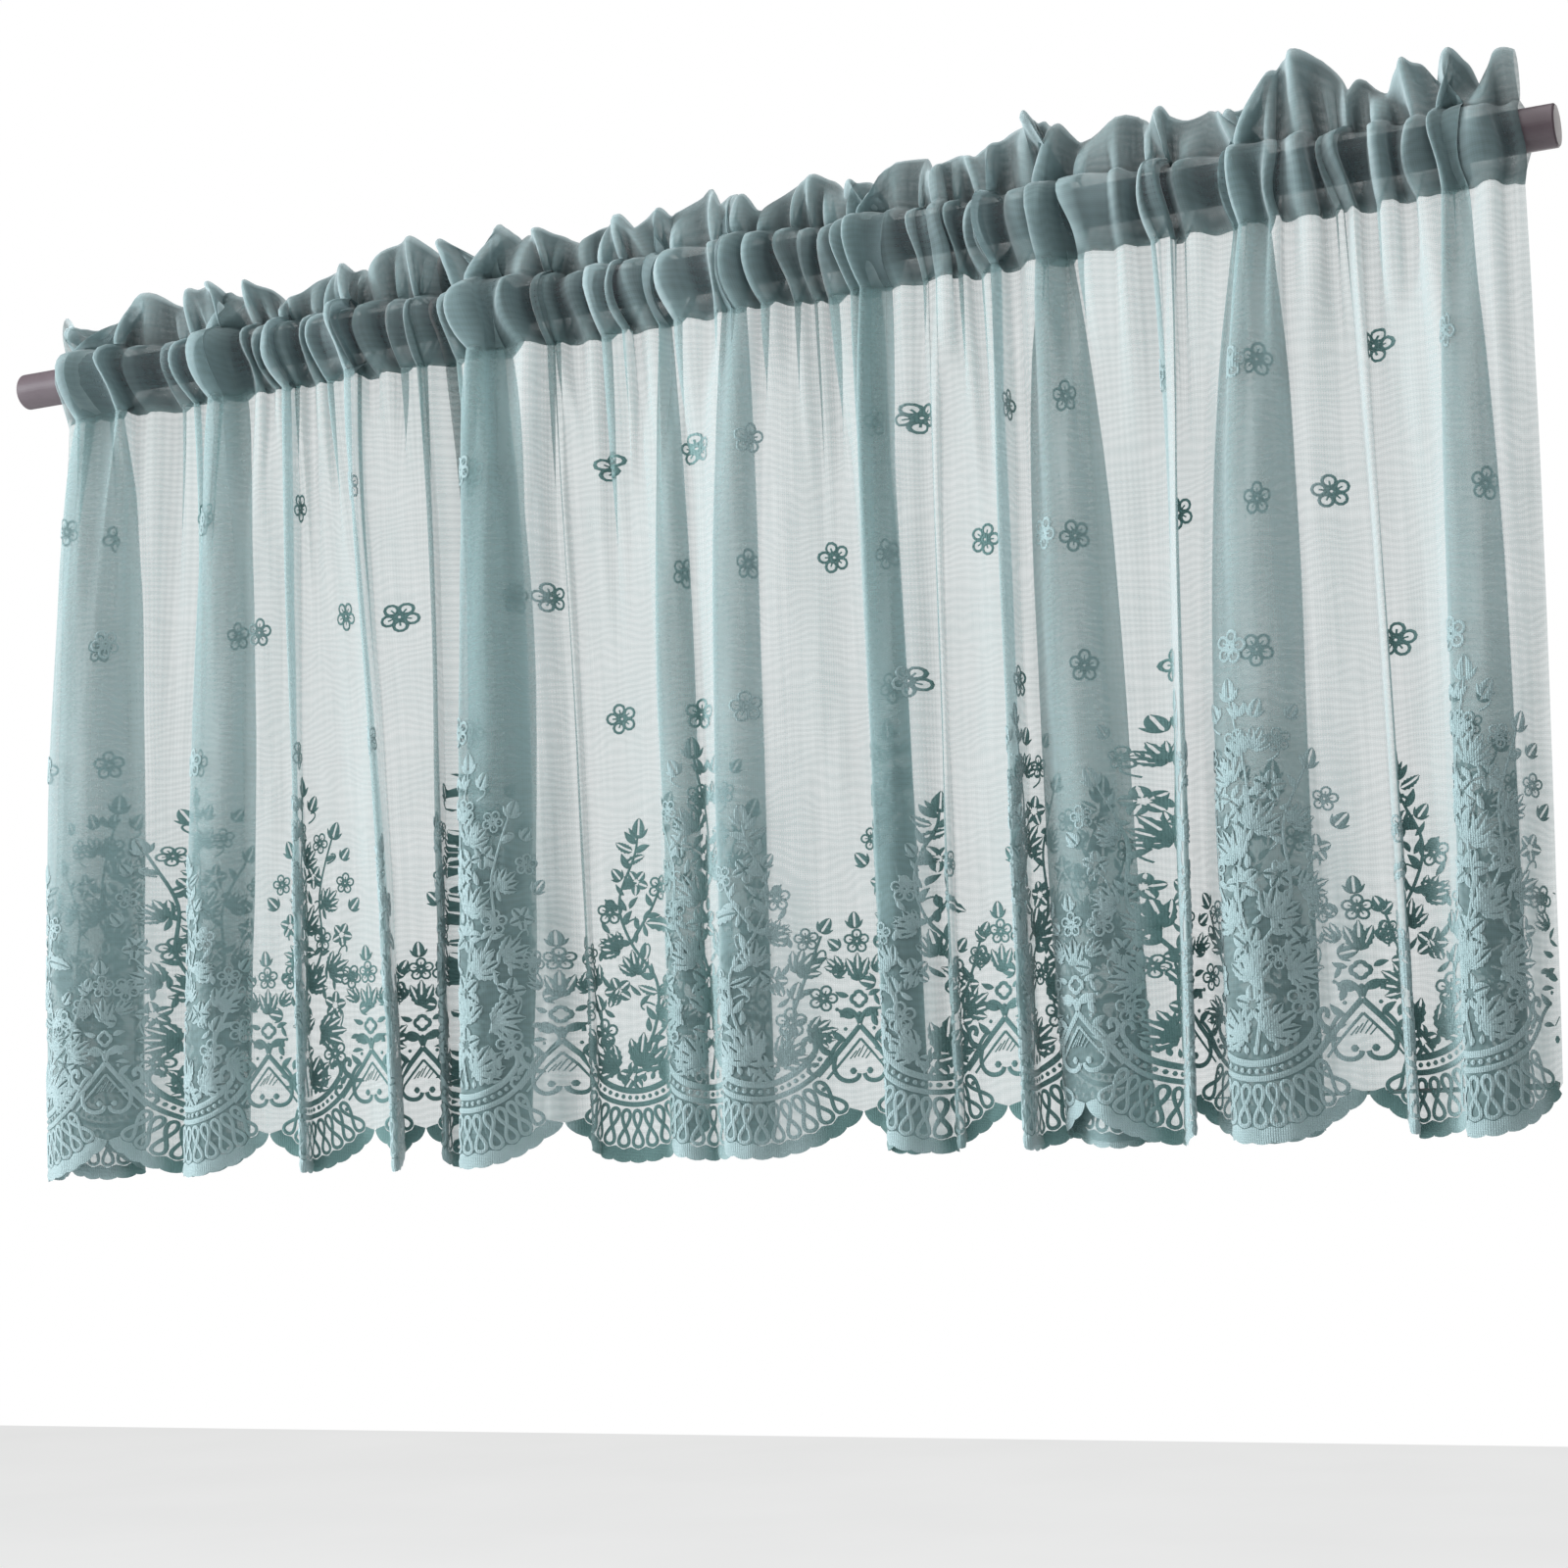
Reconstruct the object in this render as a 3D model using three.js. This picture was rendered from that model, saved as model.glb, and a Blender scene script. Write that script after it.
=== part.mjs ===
// Cafe curtain on a rod: one lace panel, gathered on a plain round rod.
// Millimetres, +Z up. X runs along the rod and the front of the cloth faces -Y.
// The origin is the middle of the rod's left end face.

import * as THREE from 'three';

// ---------------------------------------------------------------- driving dimensions

const ROD_RADIUS = 12.5;
const ROD_LENGTH = 1080;
const ROD_SIDES = 48;
const ROD_BEVEL = 1;

const CLOTH_WIDTH = 1040; // across the hung, gathered panel
const PLY = 1.2; // thickness of one ply
const SEAT_GAP = 0.4; // between the pocket and the rod it hangs on
const POCKET_DEPTH = 30; // from the rod's axis down to the lower stitch line
const POCKET_CORNER = Math.PI / 6; // the pocket wraps the rod as a six-sided sleeve
const DROP = 530; // from the lower stitch line to the lowest point of the hem

const SCALLOP_COUNT = 21;
const SCALLOP_DEPTH = 24;

const GATHERS_END_AT = 0.1; // share of the drop at which the small gathers have died out
const DEEPENING = [0.02, 0.2]; // shares between which the folds reach their depth
const OVERLAPPING = [0.08, 0.34]; // shares between which their layers come to lie over each other
const FOLD_MIDDLE = 0.45; // share of the drop at which the middle columns of FOLDS hold
const FOLD_FAN = 0.18; // angle between the layers of a pleat
const DROP_ROWS = [0, 0.07, 0.15, 0.25, 0.42, 0.7, 1];

const GATHER_DEPTH = 5; // of the small pleats at the stitch lines
const PLAIN_GATHER = 0.25; // share of that depth between two folds
const LOOP_GATHER = 0.6; // share of that depth in a narrow loop
const LONGEST_STEP = 36; // flat cloth between two columns of points
const PLAIN_STEP = 30;

const HEADER_BASE = 24; // lowest dips of the header, above the rod's axis
const HEADER_ROWS = [0.5, 1];
const HEADER_SPREAD = 0.7; // how much wider the header's waves are at its top

// ---------------------------------------------------------------- tables

// The folds from left to right. x is a fold's middle and w its width, at the stitch line, the
// middle and the hem. take is the cloth that it takes up beyond its width, radius that of its
// turns and forward how far it stands out. A pleat of 2 or 4 turns lies in 3 or 5 layers, and
// one of 0 turns is a narrow loop, leaning right by lean for each millimetre forward.
const FOLD_COLUMNS = ['turns', 'take', 'radius', 'forward', 'lean',
  'seamX', 'seamW', 'middleX', 'middleW', 'hemX', 'hemW'];
const FOLDS = [
  [2, 170, 7.0, 8, 0, -473, 60, -479, 74, -479, 84],
  [2, 115, 5.5, 4, 0, -367, 44, -374, 50, -383, 56],
  [0, 36, 2.5, 0, 0.3, -311, 18, -312, 12, -310, 10],
  [0, 78, 3.0, 2, 0.5, -265, 24, -248, 14, -237, 12],
  [0, 25, 2.5, 0, 0.2, -200, 14, -200, 10, -201, 10],
  [4, 215, 5.0, 6, 0, -155, 56, -152, 66, -158, 80],
  [0, 14, 3.0, 0, 0.2, -108, 14, -97, 12, -93, 10],
  [2, 60, 4.0, 0, 0, -28, 30, -26, 34, -26, 36],
  [2, 77, 6.0, 12, 0, 26, 44, 22, 42, 20, 42],
  [4, 120, 4.0, 2, 0, 117, 36, 120, 38, 122, 40],
  [0, 18, 3.0, 0, 0.2, 160, 14, 156, 12, 155, 10],
  [0, 50, 2.6, 0, 0, 207, 16, 205, 13, 204, 12],
  [2, 130, 5.0, 3, 0, 238, 34, 240, 46, 247, 52],
  [0, 60, 2.6, 0, 0.4, 309, 18, 302, 13, 294, 12],
  [2, 126, 6.0, 8, 0, 360, 50, 352, 66, 350, 74],
  [0, 30, 3.0, 0, 0.3, 421, 16, 424, 14, 424, 14],
  [2, 85, 6.0, 12, 0, 480, 36, 478, 40, 472, 42],
].map((row) => Object.fromEntries(row.map((value, i) => [FOLD_COLUMNS[i], value])));

// The header's puffs from left to right: middle, half width, top above the rod's axis, and how
// far the top flops forward.
const PUFF_COLUMNS = ['x', 'half', 'top', 'flop'];
const PUFFS = [
  [-509, 11, 48, 2], [-483, 12, 35, 4], [-432, 24, 53, -4], [-380, 30, 48, 3],
  [-334, 16, 42, 6], [-308, 14, 28, 4], [-272, 27, 46, -3], [-217, 28, 55, 2],
  [-180, 18, 44, 6], [-143, 18, 50, -2], [-112, 26, 43, 4], [-63, 22, 47, -4],
  [-26, 17, 42, 5], [3, 15, 55, -2], [31, 17, 43, 6], [78, 27, 50, -5],
  [115, 11, 38, 4], [148, 18, 50, -2], [182, 16, 43, 6], [230, 33, 53, 8],
  [287, 18, 53, -3], [311, 15, 46, 3], [337, 13, 45, -2], [362, 13, 38, 6],
  [397, 27, 62, 10], [434, 12, 45, -2], [462, 13, 47, 5], [485, 10, 45, 8],
  [512, 14, 48, -3],
].map((row) => Object.fromEntries(row.map((value, i) => [PUFF_COLUMNS[i], value])));

// ---------------------------------------------------------------- small helpers

const mix = (a, b, t) => a + (b - a) * t;
const clamp = (value, low, high) => Math.min(Math.max(value, low), high);

function smoothStep(low, high, value) {
  const t = clamp((value - low) / (high - low), 0, 1);
  return t * t * (3 - 2 * t);
}

// The parabola through a value at the stitch line, the middle and the hem.
function alongDrop(seam, middle, hem, v) {
  const atSeam = ((v - FOLD_MIDDLE) * (v - 1)) / FOLD_MIDDLE;
  const atMiddle = (v * (v - 1)) / (FOLD_MIDDLE * (FOLD_MIDDLE - 1));
  const atHem = (v * (v - FOLD_MIDDLE)) / (1 - FOLD_MIDDLE);
  return seam * atSeam + middle * atMiddle + hem * atHem;
}

const flatLength = (fold) => fold.take + fold.hemW;
const foldX = (fold, v) => alongDrop(fold.seamX, fold.middleX, fold.hemX, v);
const foldWidth = (fold, v) => alongDrop(fold.seamW, fold.middleW, fold.hemW, v);

// ---------------------------------------------------------------- section of one fold

// The straight runs of a fold seen from above, as lengths and headings. A heading of 0 runs
// to the right and one of a quarter turn runs to the front.
function foldRuns(fold, width) {
  const flat = flatLength(fold);
  if (fold.turns === 0) {
    const foot = width / 3;
    const leg = flat / 2 - foot;
    const quarter = Math.PI / 2;
    return { lengths: [foot, leg, leg, foot], headings: [0, quarter, -quarter, 0] };
  }
  const backward = (flat - width) / fold.turns;
  const forward = (flat + width) / (fold.turns + 2);
  const lengths = [forward];
  const headings = [0];
  for (let turn = 0; turn < fold.turns; turn += 2) {
    const isLast = turn + 2 === fold.turns;
    lengths.push(backward, forward);
    headings.push(Math.PI - FOLD_FAN, isLast ? 0 : FOLD_FAN);
  }
  return { lengths, headings };
}

// The turns between those runs: where each starts and ends along the flat cloth.
function foldTurns(fold, width) {
  const { lengths, headings } = foldRuns(fold, width);
  const turns = [];
  let at = 0;
  for (let i = 0; i + 1 < lengths.length; i += 1) {
    at += lengths[i];
    const by = headings[i + 1] - headings[i];
    const room = 0.45 * Math.min(lengths[i], lengths[i + 1]);
    const half = Math.min((fold.radius * Math.abs(by)) / 2, room);
    turns.push({ start: at - half, end: at + half, by });
  }
  return turns;
}

// Points of the fold's section at the given flat positions, from (0, 0) on, with x to the
// right and y to the back.
function foldSection(fold, width, positions) {
  const STEPS = 240;
  const flat = flatLength(fold);
  const turns = foldTurns(fold, width);
  const xs = [0];
  const ys = [0];
  for (let i = 0; i < STEPS; i += 1) {
    const s = ((i + 0.5) / STEPS) * flat;
    let heading = 0;
    for (const turn of turns) {
      heading += turn.by * clamp((s - turn.start) / (turn.end - turn.start), 0, 1);
    }
    xs.push(xs[i] + (Math.cos(heading) * flat) / STEPS);
    ys.push(ys[i] - (Math.sin(heading) * flat) / STEPS);
  }
  const stretch = width - xs[STEPS];
  return positions.map((s) => {
    const step = clamp((s / flat) * STEPS, 0, STEPS - 1e-6);
    const i = Math.floor(step);
    const y = mix(ys[i], ys[i + 1], step - i);
    const x = mix(xs[i], xs[i + 1], step - i) + (stretch * s) / flat - fold.lean * y;
    return { x, y };
  });
}

// ---------------------------------------------------------------- columns of the cloth

// Flat positions of a fold's columns: the ends and middle of each turn, and enough between.
function foldPositions(fold, width) {
  const turns = foldTurns(fold, width);
  const hemTurns = foldTurns(fold, fold.hemW);
  const positions = [0];
  let last = 0;
  let hemLast = 0;
  const divide = (to, hemTo) => {
    const pieces = Math.max(1, Math.ceil((hemTo - hemLast) / LONGEST_STEP));
    for (let i = 1; i <= pieces; i += 1) positions.push(mix(last, to, i / pieces));
  };
  turns.forEach((turn, i) => {
    divide(turn.start, hemTurns[i].start);
    if (Math.abs(turn.by) > 2) positions.push((turn.start + turn.end) / 2);
    positions.push(turn.end);
    last = turn.end;
    hemLast = hemTurns[i].end;
  });
  divide(flatLength(fold), flatLength(fold));
  return positions;
}

// One column for each place across the flat cloth, with the fold or plain stretch it is in.
function layColumns() {
  const columns = [];
  let flat = 0;
  const plain = (index, from, to) => {
    const pieces = Math.max(2, Math.round((to - from) / PLAIN_STEP));
    for (let i = 1; i < pieces; i += 1) {
      columns.push({ plain: index, t: i / pieces, flat: flat + ((to - from) * i) / pieces });
    }
    flat += to - from;
  };
  let edge = -CLOTH_WIDTH / 2;
  columns.push({ plain: 0, t: 0, flat: 0 });
  FOLDS.forEach((fold, index) => {
    const start = fold.hemX - fold.hemW / 2;
    plain(index, edge, start);
    foldPositions(fold, fold.hemW).forEach((position, place) => {
      columns.push({ fold: index, place, flat: flat + position });
    });
    flat += flatLength(fold);
    edge = start + fold.hemW;
  });
  plain(FOLDS.length, edge, CLOTH_WIDTH / 2);
  columns.push({ plain: FOLDS.length, t: 1, flat });
  return columns;
}

const COLUMNS = layColumns();
const FLAT_WIDTH = COLUMNS[COLUMNS.length - 1].flat;

// +1 and -1 in turn from column to column, smaller on the plain stretches.
function gatherOf(column, index) {
  const side = index % 2 === 0 ? 1 : -1;
  if (column.plain !== undefined) return side * PLAIN_GATHER * GATHER_DEPTH;
  return side * GATHER_DEPTH * (FOLDS[column.fold].turns === 0 ? LOOP_GATHER : 1);
}

// ---------------------------------------------------------------- one level of the drop

// Plan points of every column at share v of the drop: small gathers at the stitch line, which
// open into the folds of the table.
function sectionAt(v) {
  const deep = smoothStep(...DEEPENING, v);
  const overlapped = smoothStep(...OVERLAPPING, v);
  const gathered = 1 - smoothStep(0, GATHERS_END_AT, v);
  const folds = FOLDS.map((fold) => {
    const width = foldWidth(fold, v);
    const positions = foldPositions(fold, width);
    const shape = foldSection(fold, width, positions);
    const depth = shape[shape.length - 1].y;
    const left = foldX(fold, v) - width / 2;
    return positions.map((position, i) => ({
      x: left + mix((width * position) / flatLength(fold), shape[i].x, overlapped),
      y: deep * (shape[i].y - depth / 2 - fold.forward),
    }));
  });
  const leftEdge = { x: -CLOTH_WIDTH / 2, y: 0 };
  const rightEdge = { x: CLOTH_WIDTH / 2, y: 0 };
  const points = COLUMNS.map((column) => {
    if (column.plain === undefined) return { ...folds[column.fold][column.place] };
    const from = column.plain === 0 ? leftEdge : folds[column.plain - 1].at(-1);
    const to = column.plain === FOLDS.length ? rightEdge : folds[column.plain][0];
    return { x: mix(from.x, to.x, column.t), y: mix(from.y, to.y, smoothStep(0, 1, column.t)) };
  });
  points.forEach((point, i) => {
    point.y += gathered * gatherOf(COLUMNS[i], i);
  });
  return points;
}

// Unit normals of a plan line, pointing to the front of the cloth, lengthened at corners so
// that the ply keeps its thickness.
function frontNormals(points) {
  const LONGEST = 1.35;
  const sides = points.slice(1).map((point, i) => {
    const dx = point.x - points[i].x;
    const dy = point.y - points[i].y;
    const length = Math.hypot(dx, dy);
    return { x: dy / length, y: -dx / length };
  });
  return points.map((_, i) => {
    const a = sides[Math.max(i - 1, 0)];
    const b = sides[Math.min(i, sides.length - 1)];
    const sum = Math.hypot(a.x + b.x, a.y + b.y);
    const grow = Math.min(2 / sum, LONGEST) / sum;
    return { x: (a.x + b.x) * grow, y: (a.y + b.y) * grow };
  });
}

// ---------------------------------------------------------------- hem and header outlines

function hemRise(flat) {
  const phase = (flat / FLAT_WIDTH) * SCALLOP_COUNT;
  return SCALLOP_DEPTH * (1 - Math.abs(Math.sin(Math.PI * phase)));
}

function crestAt(x) {
  let top = HEADER_BASE;
  let flop = 0;
  for (const puff of PUFFS) {
    const off = Math.abs(x - puff.x) / puff.half;
    const height = mix(HEADER_BASE, puff.top, Math.sqrt(Math.max(0, 1 - off ** 3)));
    if (height > top) {
      top = height;
      flop = puff.flop * (1 - off);
    }
  }
  return { top, flop };
}

// ---------------------------------------------------------------- lace panel

// Two closed rings of points for every column: around the outside of the cloth, from the hem
// up the front, over the header and down the back, and around the inside of the rod pocket.
function panelRings() {
  const seam = sectionAt(0);
  const seamNormals = frontNormals(seam);
  const inner = (ROD_RADIUS + SEAT_GAP) / Math.cos(POCKET_CORNER);
  const outer = (ROD_RADIUS + SEAT_GAP + PLY) / Math.cos(POCKET_CORNER);

  const drop = DROP_ROWS.map((v) => {
    const points = sectionAt(v);
    const normals = frontNormals(points);
    const half = v === 0 ? 0.8 * PLY : 0.5 * PLY;
    return points.map((point, i) => {
      const z = -POCKET_DEPTH - v * (DROP - hemRise(COLUMNS[i].flat));
      const { x: nx, y: ny } = normals[i];
      return {
        front: [point.x + nx * half, point.y + ny * half, z],
        back: [point.x - nx * half, point.y - ny * half, z],
      };
    });
  });

  // A point of one pocket wall: side is -1 on the front wall and +1 on the back one.
  const wall = (i, side, radius, angle) => {
    const gather = seam[i].y + side * Math.abs(gatherOf(COLUMNS[i], i));
    const y = side * radius * Math.cos(angle) + gather;
    return [seam[i].x, y, radius * Math.sin(angle)];
  };

  // The pocket's ridge lies higher where a gather carries it off the rod's axis.
  const ridge = (i) => inner + Math.abs(gatherOf(COLUMNS[i], i)) * Math.tan(POCKET_CORNER);

  const header = (i, side, share) => {
    const { top, flop } = crestAt(seam[i].x);
    const wave = seam[i].y * (1 + HEADER_SPREAD * share) - flop * share;
    const ply = side * PLY;
    return [
      seam[i].x - seamNormals[i].x * ply * 0.5,
      wave + ply,
      mix(ridge(i) + 1.5 * PLY, top, share),
    ];
  };

  return COLUMNS.map((_, i) => {
    const front = [
      ...drop.map((row) => row[i].front).reverse(),
      wall(i, -1, outer, -POCKET_CORNER),
      wall(i, -1, outer, POCKET_CORNER),
      header(i, -1, 0),
      ...HEADER_ROWS.map((share) => header(i, -1, share)),
    ];
    const back = [
      ...HEADER_ROWS.map((share) => header(i, 1, share)).reverse(),
      header(i, 1, 0),
      wall(i, 1, outer, POCKET_CORNER),
      wall(i, 1, outer, -POCKET_CORNER),
      ...drop.map((row) => row[i].back),
    ];
    const pocket = [
      [seam[i].x, seam[i].y, -POCKET_DEPTH + 2.5 * PLY],
      wall(i, -1, inner, -POCKET_CORNER),
      wall(i, -1, inner, POCKET_CORNER),
      [seam[i].x, seam[i].y, ridge(i)],
      wall(i, 1, inner, POCKET_CORNER),
      wall(i, 1, inner, -POCKET_CORNER),
    ];
    return { outside: [...front, ...back], pocket };
  });
}

// Triangles that close one side edge of the panel, as places in a column's two rings.
function sideEdge(outsideCount, pocketCount) {
  const rows = DROP_ROWS.length;
  const last = outsideCount - 1;
  const inside = (place) => outsideCount + (place % pocketCount);
  const faces = [];
  const quad = (a, b, c, d) => faces.push([a, b, c], [a, c, d]);
  for (let i = 0; i + 1 < rows; i += 1) quad(i, i + 1, last - i - 1, last - i);
  faces.push([rows - 1, inside(0), last - rows + 1]);
  for (let i = 0; i < 3; i += 1) {
    quad(rows - 1 + i, rows + i, inside(i + 1), inside(i));
    quad(last - rows - i, last - rows - i + 1, inside(pocketCount - i), inside(pocketCount - i - 1));
  }
  const foot = rows + 2;
  faces.push([foot, last - foot, inside(3)]);
  for (let i = foot; i < foot + HEADER_ROWS.length; i += 1) quad(i, i + 1, last - i - 1, last - i);
  return faces;
}

function panelGeometry() {
  const rings = panelRings();
  const outsideCount = rings[0].outside.length;
  const pocketCount = rings[0].pocket.length;
  const perColumn = outsideCount + pocketCount;
  const positions = rings.flatMap((ring) => [...ring.outside, ...ring.pocket]).flat();
  const indices = [];

  // Both faces of a ply are cut along the same diagonals, so that they never cross.
  const stitch = (column, start, count, facesIn) => {
    const here = column * perColumn + start;
    const next = here + perColumn;
    for (let i = 0; i < count; i += 1) {
      const j = (i + 1) % count;
      const isFront = i < count / 2;
      const faces = isFront
        ? [[here + i, next + i, next + j], [here + i, next + j, here + j]]
        : [[here + i, next + i, here + j], [next + i, next + j, here + j]];
      for (const face of faces) indices.push(...(facesIn ? face.reverse() : face));
    }
  };
  for (let column = 0; column + 1 < rings.length; column += 1) {
    stitch(column, 0, outsideCount, false);
    stitch(column, outsideCount, pocketCount, true);
  }

  const right = (rings.length - 1) * perColumn;
  for (const [a, b, c] of sideEdge(outsideCount, pocketCount)) {
    indices.push(a, b, c);
    indices.push(right + a, right + c, right + b);
  }

  const geometry = new THREE.BufferGeometry();
  geometry.setAttribute('position', new THREE.Float32BufferAttribute(positions, 3));
  geometry.setIndex(indices);
  geometry.computeVertexNormals();
  return geometry;
}

function lacePanel() {
  const material = new THREE.MeshStandardMaterial({
    color: 0x9db8b6,
    roughness: 0.85,
    metalness: 0,
    transparent: true,
    opacity: 0.75,
  });
  const panel = new THREE.Mesh(panelGeometry(), material);
  panel.name = 'lace_panel';
  panel.position.x = ROD_LENGTH / 2;
  return panel;
}

// ---------------------------------------------------------------- rod

function rod() {
  const profile = [
    new THREE.Vector2(0, 0),
    new THREE.Vector2(ROD_RADIUS - ROD_BEVEL, 0),
    new THREE.Vector2(ROD_RADIUS, ROD_BEVEL),
    new THREE.Vector2(ROD_RADIUS, ROD_LENGTH - ROD_BEVEL),
    new THREE.Vector2(ROD_RADIUS - ROD_BEVEL, ROD_LENGTH),
    new THREE.Vector2(0, ROD_LENGTH),
  ];
  const material = new THREE.MeshStandardMaterial({
    color: 0x4a3b44,
    roughness: 0.45,
    metalness: 0.2,
  });
  const bar = new THREE.Mesh(new THREE.LatheGeometry(profile, ROD_SIDES), material);
  bar.name = 'rod';
  bar.rotation.z = -Math.PI / 2;
  return bar;
}

// ---------------------------------------------------------------- curtain

const curtain = new THREE.Group();
curtain.add(rod(), lacePanel());

export default curtain;
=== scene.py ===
"""Looks of the cafe curtain: one gathered lace panel on a plain rod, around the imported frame.

Until a mesh is made, lengths are millimetres and X starts from the rod's middle. Z starts from the
rod's axis, and the front of the cloth faces -Y. On the flat cloth, u runs along the width from the
left edge, and h is the height above the lowest points of the hem.
"""

import math

import bpy
import numpy as np
from mathutils import Matrix, Vector


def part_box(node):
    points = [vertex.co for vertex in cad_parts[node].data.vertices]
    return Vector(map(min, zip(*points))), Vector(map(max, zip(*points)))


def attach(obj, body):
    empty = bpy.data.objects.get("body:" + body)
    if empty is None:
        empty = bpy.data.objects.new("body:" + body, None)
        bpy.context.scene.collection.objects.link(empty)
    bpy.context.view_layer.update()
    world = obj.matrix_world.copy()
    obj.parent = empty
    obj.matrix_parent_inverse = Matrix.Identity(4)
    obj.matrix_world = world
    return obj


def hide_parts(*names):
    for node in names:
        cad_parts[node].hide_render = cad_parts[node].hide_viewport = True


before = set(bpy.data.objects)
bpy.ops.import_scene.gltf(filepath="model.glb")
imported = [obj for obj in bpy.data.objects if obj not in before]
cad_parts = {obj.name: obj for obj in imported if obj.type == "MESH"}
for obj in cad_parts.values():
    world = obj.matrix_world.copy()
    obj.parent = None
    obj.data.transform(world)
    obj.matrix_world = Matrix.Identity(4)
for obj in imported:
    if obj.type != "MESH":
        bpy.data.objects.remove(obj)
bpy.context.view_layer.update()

MM = 0.001

# --- sizes shared with the solids

rod_low, rod_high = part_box("rod")
ROD_LENGTH = (rod_high.x - rod_low.x) / MM
ROD_RADIUS = (rod_high.z - rod_low.z) / 2 / MM
CLOTH_WIDTH = 1040.0
POCKET_DEPTH = 30.0  # from the rod's axis down to the lower stitch line
DROP = 530.0  # from there down to the lowest points of the hem
SCALLOPS = 21
FOLD_MIDDLE = 0.45  # share of the drop at which a fold has its middle place and width
FOLD_FAN = 0.18  # angle between a fold's layers, in radians
HEADER_BASE = 24.0  # height of the header's top between its puffs

# The folds from left to right, as in the part's source. turns is how often the cloth turns back in
# a fold, or 0 for a standing pleat. take is the cloth that it holds beyond its width at the hem.
# x is a fold's middle and w its width, at the stitch line, the middle and the hem.
FOLD_COLUMNS = ("turns", "take", "radius", "forward", "lean",
                "seam_x", "seam_w", "middle_x", "middle_w", "hem_x", "hem_w")
FOLDS = [dict(zip(FOLD_COLUMNS, row)) for row in (
    (2, 170, 7.0, 8, 0, -473, 60, -479, 74, -479, 84),
    (2, 115, 5.5, 4, 0, -367, 44, -374, 50, -383, 56),
    (0, 36, 2.5, 0, 0.3, -311, 18, -312, 12, -310, 10),
    (0, 78, 3.0, 2, 0.5, -265, 24, -248, 14, -237, 12),
    (0, 25, 2.5, 0, 0.2, -200, 14, -200, 10, -201, 10),
    (4, 215, 5.0, 6, 0, -155, 56, -152, 66, -158, 80),
    (0, 14, 3.0, 0, 0.2, -108, 14, -97, 12, -93, 10),
    (2, 60, 4.0, 0, 0, -28, 30, -26, 34, -26, 36),
    (2, 77, 6.0, 12, 0, 26, 44, 22, 42, 20, 42),
    (4, 120, 4.0, 2, 0, 117, 36, 120, 38, 122, 40),
    (0, 18, 3.0, 0, 0.2, 160, 14, 156, 12, 155, 10),
    (0, 50, 2.6, 0, 0, 207, 16, 205, 13, 204, 12),
    (2, 130, 5.0, 3, 0, 238, 34, 240, 46, 247, 52),
    (0, 60, 2.6, 0, 0.4, 309, 18, 302, 13, 294, 12),
    (2, 126, 6.0, 8, 0, 360, 50, 352, 66, 350, 74),
    (0, 30, 3.0, 0, 0.3, 421, 16, 424, 14, 424, 14),
    (2, 85, 6.0, 12, 0, 480, 36, 478, 40, 472, 42),
)]

# The header's puffs: middle, half width, top above the rod's axis, forward flop of the top.
PUFFS = (
    (-509, 11, 48, 2), (-483, 12, 35, 4), (-432, 24, 53, -4), (-380, 30, 48, 3),
    (-334, 16, 42, 6), (-308, 14, 28, 4), (-272, 27, 46, -3), (-217, 28, 55, 2),
    (-180, 18, 44, 6), (-143, 18, 50, -2), (-112, 26, 43, 4), (-63, 22, 47, -4),
    (-26, 17, 42, 5), (3, 15, 55, -2), (31, 17, 43, 6), (78, 27, 50, -5),
    (115, 11, 38, 4), (148, 18, 50, -2), (182, 16, 43, 6), (230, 33, 53, 8),
    (287, 18, 53, -3), (311, 15, 46, 3), (337, 13, 45, -2), (362, 13, 38, 6),
    (397, 27, 62, 10), (434, 12, 45, -2), (462, 13, 47, 5), (485, 10, 45, 8),
    (512, 14, 48, -3),
)

# --- sizes of the fine shape. A heading is an angle in radians, from the rod to the front.

BELLY = 0.75  # heading by which a fold's layers bow to the front
SECTION_STEPS = 400
TIGHTEST_TURN = 0.45  # greatest share of a layer that half a turn takes up
FIRST_OVERLAP, FIRST_DEPTH = 0.56, 0.55  # shares that the folds have at the stitch line
OPENING_POWER, DEEPENING_POWER = 4, 6  # how soon below it they overlap and deepen in full
SIDE_DRIFT = 13.0  # how far the side edges hang in at the hem

SEAM_EVENNESS = 115.0  # flat cloth over which the stitch lines' fullness evens out
SEAM_FADE = 230.0  # distance below the stitch line over which that dies out
BUNCHING = 5.0  # how far chance draws the gathers together along the rod
CRIMP = (3.2, 10.5)  # least and most width along the rod of half a small gather,
BULGE = (5.0, 16.0)  # of half a bulge of the pocket over the rod
PUFF_WAVE = (9.0, 23.0)  # and of half a wave of the header's crest
CRIMP_SIZES = (0.5, 1.5)  # least and most swing of a gather beside the average one
CRIMP_FADE = (45.0, 420.0)  # distance below the stitch line over which a gather dies out
WAVE_COUNT = 400  # half gathers drawn by chance, more than any line needs
WAVE_MARGIN = 20.0  # how far to the left of the cloth they start
STEEPEST = 2.3  # heading that no gather passes
LEAST_GATHER = 0.62  # share of cloth that even a plain stretch gathers
SWING_REACH, SIZE_REACH = 60, 40  # flat cloth over which gathers are told from folds and sized
SIZE_SCALE = 1.5  # size of the gathers beside their average distance forward
FOLD_CALM = 0.25  # share of the small gathers that a fold has room to do without
FOLD_BLUR = 12.0  # flat cloth over which that changes at a fold's sides
END_CALM = 30.0  # flat cloth at the side edges over which the small gathers die out
# Ripples of the lower drop: length, height over which it shifts to the side and back, depth.
RIPPLES = ((61.0, 900.0, 1.7), (37.0, 640.0, 1.1), (23.0, 520.0, 0.6), (14.0, 380.0, 0.25))
RIPPLE_SHIFT = 40.0

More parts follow.
